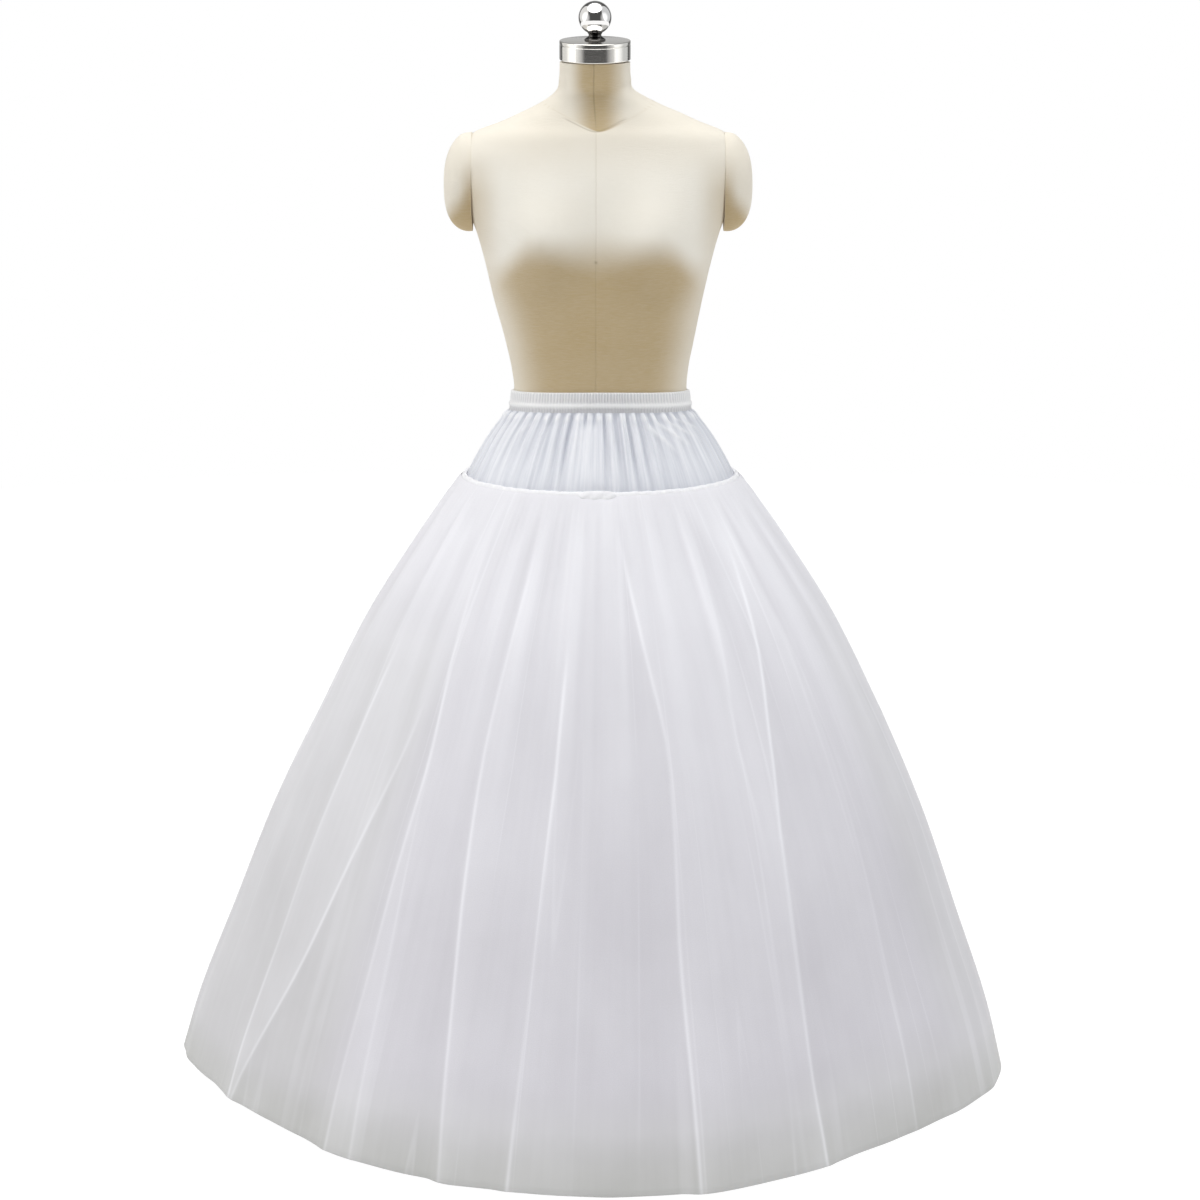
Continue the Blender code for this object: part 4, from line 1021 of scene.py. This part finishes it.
def seam_relief(angle, points):
    """How deep and how dark the seams are: four down the body and one round the neck's base."""
    x, y, z = points[..., 0], points[..., 1], points[..., 2]
    radius = np.hypot(x, y)
    depth = np.zeros_like(x)
    shade = np.zeros_like(x)
    across = x - front_seam_x(z)
    for seam in FORM_SEAMS:
        away = across if seam.angle == -90.0 else angle_between(angle, math.radians(seam.angle)) * radius
        line = bump(away, SEAM_HALF_WIDTH) * (1.0 if seam.angle != -90.0 else y < 0.0)
        depth = np.maximum(depth, line)
        shade = np.maximum(shade, line * seam.shade)
    line = bump(z - neck_seam_height(across), SEAM_HALF_WIDTH)
    line = line * (1.0 - ease(np.abs(across), NECK_SEAM_REACH - 0.010, NECK_SEAM_REACH))
    shade = shade * np.where(y < 0.0, 0.4 + 1.2 * ease(z, NECK_SEAM_LOW, NECK_SEAM_LOW + 0.02), 1.0)
    pin = bump(np.hypot(across, z - BUST_PIN), 0.0018) * (y < 0.0)
    shade = np.maximum(np.maximum(shade, 0.45 * line), 0.8 * pin)
    return np.maximum(depth, line), shade


def painted_linen_light(points, normal, centre_x):
    """How much painted light the linen gets against tan painted shade: all over the chest and shoulders, and
    at the sides of neck and waist.
    """
    x, z = points[..., 0] - centre_x, points[..., 2]
    side = np.abs(normal[..., 0])
    out = np.abs(x)
    front = ease(-points[..., 1], -0.04, 0.04)
    lobes = 0.012 * bump(out - 0.074, 0.050) - 0.036 * ease(out, 0.085, 0.150) - 0.009 * bump(out, 0.040)
    below_bust = 1.160 + lobes * front
    chest = ease(z, below_bust - 0.022, below_bust + 0.032 + 0.026 * bump(out, 0.034) * front)
    on_neck = ease(z - neck_seam_height(x), -0.001, 0.001)
    chest = chest * (1.0 - on_neck)
    # Painted shade beside the lower armholes, and less painted light towards the shoulders and at the chest's
    # sides.
    armhole = ease(out, 0.120, 0.166) * (1.0 - ease(z, 1.235, 1.310))
    chest = chest * (1.0 - 0.55 * armhole) * (1.0 - 0.20 * ease(z, 1.255, 1.325))
    chest = chest * (1.0 - 0.18 * ease(side, 0.70, 1.0))
    # Painted light on the sides of the neck, and on the sides of the body below the bust.
    beside = np.abs(points[..., 0] + 0.003)
    neck_side = ease(beside, 0.003 + 0.013 * ease(z, 1.362, 1.385), 0.040)
    neck_side = np.maximum(neck_side, 0.6 * ease(side, 0.30, 0.80))
    neck_side = 0.80 * neck_side * on_neck
    body_side = 0.62 * ease(side, 0.42 + 0.18 * ease(z, 1.080, 1.150), 1.0)
    body_side = body_side * (1.0 - ease(z, below_bust, 1.25))
    # What is left is painted tan shade: under the bust, on the neck's front and on the belly.
    tan_shade = (1.0 - chest) * (1.0 - neck_side) * (1.0 - body_side)
    return 0.04 + 0.92 * np.clip(1.0 - tan_shade, 0.0, 1.0)


def form_columns(height):
    """Column angles of the torso, row by row, closer beside the seams and at the armholes' edges."""
    half_width = form_column["half_width"](height)
    centre = form_column["centre_x"](height)
    right = (ARMHOLE_CENTRE_X + ARMHOLE_HALF_WIDTH - centre) / half_width
    left = (ARMHOLE_CENTRE_X - ARMHOLE_HALF_WIDTH - centre) / half_width
    right = np.maximum(np.arccos(np.clip(right, -1.0, 1.0)), math.radians(6.0))
    left = np.maximum(math.pi - np.arccos(np.clip(left, -1.0, 1.0)), math.radians(6.0))
    front = -0.5 * math.pi + np.arcsin((front_seam_x(height) - centre) / half_width)
    flat = np.zeros_like(height)
    knots = [flat - math.pi, left - math.pi, front, -right, flat, right, flat + 0.5 * math.pi, math.pi - left,
             flat + math.pi]
    steps = (12, 60, 60, 12, 12, 60, 60, 12)
    parts = [crowded(start, end, step, 0.8) for start, end, step in zip(knots, knots[1:], steps)]
    return np.concatenate(parts, axis=1)


def form_rows():
    """Row heights from the neck down: closest at the neck seam, and few below the waist."""
    top, bottom = FORM_SECTIONS[0].height, FORM_SECTIONS[-1].height
    stops = ((top, 0.0022), (1.352, 0.0006), (1.322, 0.0030), (0.935, 0.0120), (bottom, None))
    rows = []
    for (start, step), (end, after) in zip(stops, stops[1:]):
        rows.append(np.linspace(start, end, round((start - end) / step) + 1)[:-1])
    return np.concatenate(rows + [np.array([bottom])])


def lid_of(row, centre):
    """A row of points drawn in almost to its centre, which closes an end."""
    return centre + (row - centre) * 0.02


def add_form(finish):
    height = form_rows()[:, None]
    angle = form_columns(height)
    angle, height = np.broadcast_arrays(angle, height)
    points = form_points(angle, height)
    normal = normals_of(points, closed=True)
    depth, seam = seam_relief(angle, points)
    # Painted light and shade of the linen, by where each point is and which way it faces.
    painted_light = painted_linen_light(points, normal, form_column["centre_x"](height))
    points = points - normal * (0.0005 * depth)[..., None]
    lids = [lid_of(row, row.mean(axis=0))[None] for row in (points[0], points[-1])]
    points = np.concatenate([lids[0], points, lids[1]])
    seam = np.concatenate([seam[:1] * 0.0, seam, seam[:1] * 0.0])
    painted_light = np.concatenate([painted_light[:1], painted_light, painted_light[-1:]])
    piece = grid_piece("linen_torso", points, finish, closed=True, shades={"seam": seam, "painted_light": painted_light})
    piece.data.set_sharp_from_angle(angle=math.radians(50.0))
    return finish_piece(piece, "linen", "form_torso")


def add_shoulder_cap(name, node, side, finish):
    columns, rows = 160, 60
    turn = np.linspace(0.0, 0.5 * math.pi * 0.99999, rows)[:, None]
    angle = -side * whole_round(columns)
    turn, angle = np.broadcast_arrays(turn, angle)
    size = np.cos(turn) ** CAP_ROUNDNESS
    sag = -CAP_SAG * np.sin(turn)
    face_x = ARMHOLE_CENTRE_X + side * (ARMHOLE_HALF_WIDTH + 0.2 * SEAM_GAP)
    x = face_x + side * CAP_STICKOUT * np.sin(turn)
    y = CAP_HALF_DEPTH * size * np.cos(angle) + CAP_SET_BACK
    z = CAP_CENTRE + sag + CAP_HALF_HEIGHT * size * np.sin(angle)
    z = z - CAP_TOP_DROP * np.maximum(0.0, np.sin(angle)) ** 3 * (1.0 - ease(np.sin(turn), 0.0, 0.45))
    points = stack(x, y, z)
    centre = np.array([face_x, CAP_SET_BACK, CAP_CENTRE])
    points = np.concatenate([lid_of(points[:1], centre), points])
    normal = normals_of(points, closed=True)
    # Painted light on the cap's top and outer side; painted shade along its lower edge by the armhole.
    painted_light = ease(normal[..., 2] + 0.25 * np.abs(normal[..., 0]), -0.45, 0.10)
    near = 1.0 - ease(np.abs(points[..., 0] - face_x), 0.0, 0.020)
    painted_light = painted_light * (1.0 - 0.75 * near * (1.0 - ease(points[..., 2], CAP_CENTRE - 0.02, CAP_CENTRE + 0.04)))
    seam = np.zeros(points.shape[:2])
    piece = grid_piece(name, points, finish, closed=True, shades={"seam": seam, "painted_light": 0.76 * painted_light})
    piece.data.set_sharp_from_angle(angle=math.radians(50.0))
    return finish_piece(piece, "linen", node)


NECK_TOP = 1.4105
NECK_PLACE = (-0.007, -0.004)
NECK_CAP_TILT = math.radians(3.5)
NECK_CAP_RADIUS = 0.0465
NECK_CAP_HEIGHT = 0.0250
NECK_CAP_EDGE = 0.0014
NECK_CAP_GROOVE = 0.0006
KNOB_RADIUS = 0.0215
KNOB_STEM = 0.0075
AXIS_RADIUS = 0.00005


def turned_piece(name, outline, columns, finish, centre=(0.0, 0.0, 0.0), tilt=0.0, painted_reflection=None):
    """A turned piece. The outline lists (radius, height) from the top's middle to the bottom's middle."""
    outline = np.array(outline)
    angle = whole_round(columns)
    radius, height = outline[:, :1], outline[:, 1:]
    local = around(angle, radius, height)
    turn = np.array(Matrix.Rotation(tilt, 3, "X"))
    shades = {"painted_reflection": np.array(painted_reflection)[:, None]} if painted_reflection else None
    piece = grid_piece(name, local @ turn.T + np.array(centre), finish, closed=True, shades=shades)
    piece.data.set_sharp_from_angle(angle=math.radians(35.0))
    return piece


def arc(centre_radius, centre_height, radius, first, last, steps):
    """Points of an arc in the outline's plane. Angles are in degrees from straight out, upwards."""
    turn = np.radians(np.linspace(first, last, steps))
    return [(centre_radius + radius * math.cos(t), centre_height + radius * math.sin(t)) for t in turn]


def add_neck_fittings(disc_finish, ball_finish):
    lift = NECK_CAP_RADIUS * math.sin(NECK_CAP_TILT) + SEAM_GAP
    centre = (*NECK_PLACE, NECK_TOP + lift)
    inner = NECK_CAP_RADIUS - NECK_CAP_EDGE
    disc = [(AXIS_RADIUS, NECK_CAP_HEIGHT)]
    disc += arc(inner, NECK_CAP_HEIGHT - NECK_CAP_EDGE, NECK_CAP_EDGE, 90.0, 0.0, 6)
    for depth, below in ((0.0, 0.0040), (NECK_CAP_GROOVE, 0.0046), (NECK_CAP_GROOVE, 0.0054), (0.0, 0.0060)):
        disc.append((NECK_CAP_RADIUS - depth, NECK_CAP_HEIGHT - below))
    disc += [(NECK_CAP_RADIUS, NECK_CAP_EDGE)] + arc(inner, NECK_CAP_EDGE, NECK_CAP_EDGE, 0.0, -90.0, 6)
    disc += [(AXIS_RADIUS, 0.0)]
    piece = turned_piece("neck_disc", disc, 128, disc_finish, centre, NECK_CAP_TILT)
    finish_piece(piece, "chrome", "neck_cap")
    foot = NECK_CAP_HEIGHT + SEAM_GAP
    ball = foot + KNOB_STEM + KNOB_RADIUS
    knob = arc(0.0, ball, KNOB_RADIUS, 89.8, -62.0, 40)
    knob += [(0.0090, ball - 0.0205), (0.0082, foot + 0.0066), (0.0086, foot + 0.0050)]
    knob += [(0.0112, foot + 0.0032), (0.0136, foot + 0.0014), (0.0140, foot + 0.0004), (0.0138, foot)]
    knob += [(AXIS_RADIUS, foot)]
    # The knob's stem gets a painted dark reflection.
    painted_reflection = [1.0 if height < ball - 0.0185 else 0.0 for radius, height in knob]
    piece = turned_piece("neck_ball", knob, 96, ball_finish, centre, NECK_CAP_TILT, painted_reflection)
    finish_piece(piece, "chrome", "neck_knob")


def add_stand(steel, iron):
    low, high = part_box("stand_base")
    radius, top = high.x, high.z
    base = [(AXIS_RADIUS, top), (0.0225, top)] + arc(0.0225, top - 0.0015, 0.0015, 90.0, 0.0, 4)
    base += [(0.0320, 0.0225)]
    base += [(0.0320 + 0.0100 * s, 0.0160 + 0.0062 * (1.0 - s) ** 2) for s in np.linspace(0.0, 1.0, 8)]
    base += [(radius - 0.0060, 0.0123)] + arc(radius - 0.0040, 0.0080, 0.0040, 85.0, 0.0, 6)
    base += [(radius, 0.0006), (radius - 0.0006, 0.0), (AXIS_RADIUS, 0.0)]
    piece = turned_piece("base_plate", base, 160, iron)
    finish_piece(piece, "base_iron", "stand_base")
    low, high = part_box("stand_pole")
    radius = high.x
    pole = [(AXIS_RADIUS, high.z), (radius - 0.0006, high.z), (radius, high.z - 0.0006)]
    pole += [(radius, z) for z in np.linspace(high.z - 0.002, low.z + 0.002, 12)]
    pole += [(radius, low.z + 0.0006), (radius - 0.0006, low.z), (AXIS_RADIUS, low.z)]
    piece = turned_piece("pole_tube", pole, 64, steel)
    finish_piece(piece, "pole_steel", "stand_pole")


def add_floor():
    radius = 4.5
    count = 96
    rim = [(radius * math.cos(FULL_TURN * c / count), radius * math.sin(FULL_TURN * c / count), 0.0)
           for c in range(count)]
    mesh = bpy.data.meshes.new("floor")
    mesh.from_pydata(rim, [], [tuple(range(count))])
    mesh.materials.append(floor_material())
    floor = put_in_scene("floor", mesh)
    floor.location = (0.0, 0.0, -0.0002)


def add_sun(name, strength, elevation, azimuth, colour):
    """A soft distant light that comes from that elevation and azimuth, 0 degrees being the front."""
    light = bpy.data.lights.new(name, "SUN")
    light.energy = strength
    light.angle = math.radians(80.0)
    light.color = colour
    lamp = put_in_scene(name, light)
    up, side = math.radians(elevation), math.radians(azimuth)
    source = Vector((math.cos(up) * math.sin(side), -math.cos(up) * math.cos(side), math.sin(up)))
    lamp.rotation_euler = source.to_track_quat("Z", "Y").to_euler()


def add_lights():
    add_sun("top_softbox", 3.0, 76.0, -10.0, (1.0, 1.0, 1.0))
    add_sun("left_softbox", 0.95, 16.0, -98.0, (1.0, 0.99, 0.97))
    add_sun("right_softbox", 0.78, 16.0, 98.0, (0.965, 0.985, 1.0))


# What the metals reflect: where each bright box is, how far from its middle it starts, and how bright it is
STUDIO_BOXES = table(
    "towards edge strength",
    ((-0.94, -0.34, 0.0), 0.80, 0.80),
    ((0.94, -0.34, 0.0), 0.82, 0.62),
    ((0.0, 0.0, 1.0), 0.72, 0.85),
    ((0.0, 1.0, 0.0), 0.80, 0.45),
)


def add_world():
    """A pale studio: dim for soft light, and for reflections two bright sides and a bright top."""
    world = bpy.data.worlds.new("studio")
    bpy.context.scene.world = world
    made = Nodes(world)
    made.tree.nodes.clear()
    direction = made.add("ShaderNodeTexCoord").outputs["Generated"]
    glow = 0.08
    for box in STUDIO_BOXES:
        towards = made.add("ShaderNodeVectorMath", operation="DOT_PRODUCT")
        made.put(towards.inputs[0], direction)
        made.put(towards.inputs[1], box.towards)
        lit = made.span(towards.outputs["Value"], box.edge, 0.98, 0.0, box.strength)
        glow = made.math("ADD", lit, glow)
    mirrored = made.fill(made.add("ShaderNodeBackground"), Color=(1.0, 1.0, 1.0), Strength=glow)
    dim = made.fill(made.add("ShaderNodeBackground"), Color=(0.97, 0.985, 1.0), Strength=0.15)
    pale = made.fill(made.add("ShaderNodeBackground"), Color=(1.0, 1.0, 1.0), Strength=1.0)
    ray = made.add("ShaderNodeLightPath").outputs
    lit = made.mix_shaders(ray["Is Glossy Ray"], dim, mirrored)
    seen = made.mix_shaders(ray["Is Camera Ray"], lit, pale)
    made.fill(made.add("ShaderNodeOutputWorld"), Surface=seen.outputs[0])


def add_camera():
    data = bpy.data.cameras.new("photo_camera")
    data.lens = CAMERA_LENS
    data.sensor_width = 36.0
    camera = put_in_scene("photo_camera", data)
    camera.location = CAMERA_PLACE
    camera.rotation_euler = (math.radians(90.0) - CAMERA_PITCH, 0.0, 0.0)
    bpy.context.scene.camera = camera


add_camera()
add_lights()
add_world()
add_floor()
bell = add_halves("net_bell", "tulle", "tulle", tulle_material(
    "outer_tulle", (0.577, 0.563, 0.603), (0.455, 0.455, 0.445), (0.940, 0.940, 0.980), 0.90, 0.97),
    BELL_UV_RADIUS, tulle_half)
tier = add_halves("inner_net", "tier", "tier_tulle", tulle_material(
    "inner_tulle", (0.60, 0.595, 0.650), (0.60, 0.595, 0.650), (0.78, 0.78, 0.84), 0.88, 0.97),
    BELL_UV_RADIUS, tier_half)
yoke = add_halves("satin_yoke", "yoke", "satin", satin_material(
    "blue_white_satin", (0.75, 0.77, 0.825), (0.895, 0.905, 0.945)), YOKE_UV_RADIUS, yoke_half)
band = add_waistband(elastic_material())
roll_finish = binding_material()
roll = add_binding(roll_finish)
tab = add_binding_lap(roll_finish)
linen = linen_material()
add_form(linen)
add_shoulder_cap("linen_cap_left", "shoulder_cap_left", 1.0, linen)
add_shoulder_cap("linen_cap_right", "shoulder_cap_right", -1.0, linen)
add_neck_fittings(
    chrome_material("brushed_chrome", (0.84, 0.82, 0.78), 0.13, 0.18, (6.0, 6.0, 500.0)),
    chrome_material("bright_chrome", (0.88, 0.87, 0.86), 0.03, 0.07, (90.0, 90.0, 90.0)),
)
add_stand(
    chrome_material("plated_pole", (0.62, 0.62, 0.63), 0.20, 0.30, (60.0, 60.0, 900.0)),
    iron_material(),
)
bpy.context.scene.view_settings.view_transform = "Standard"
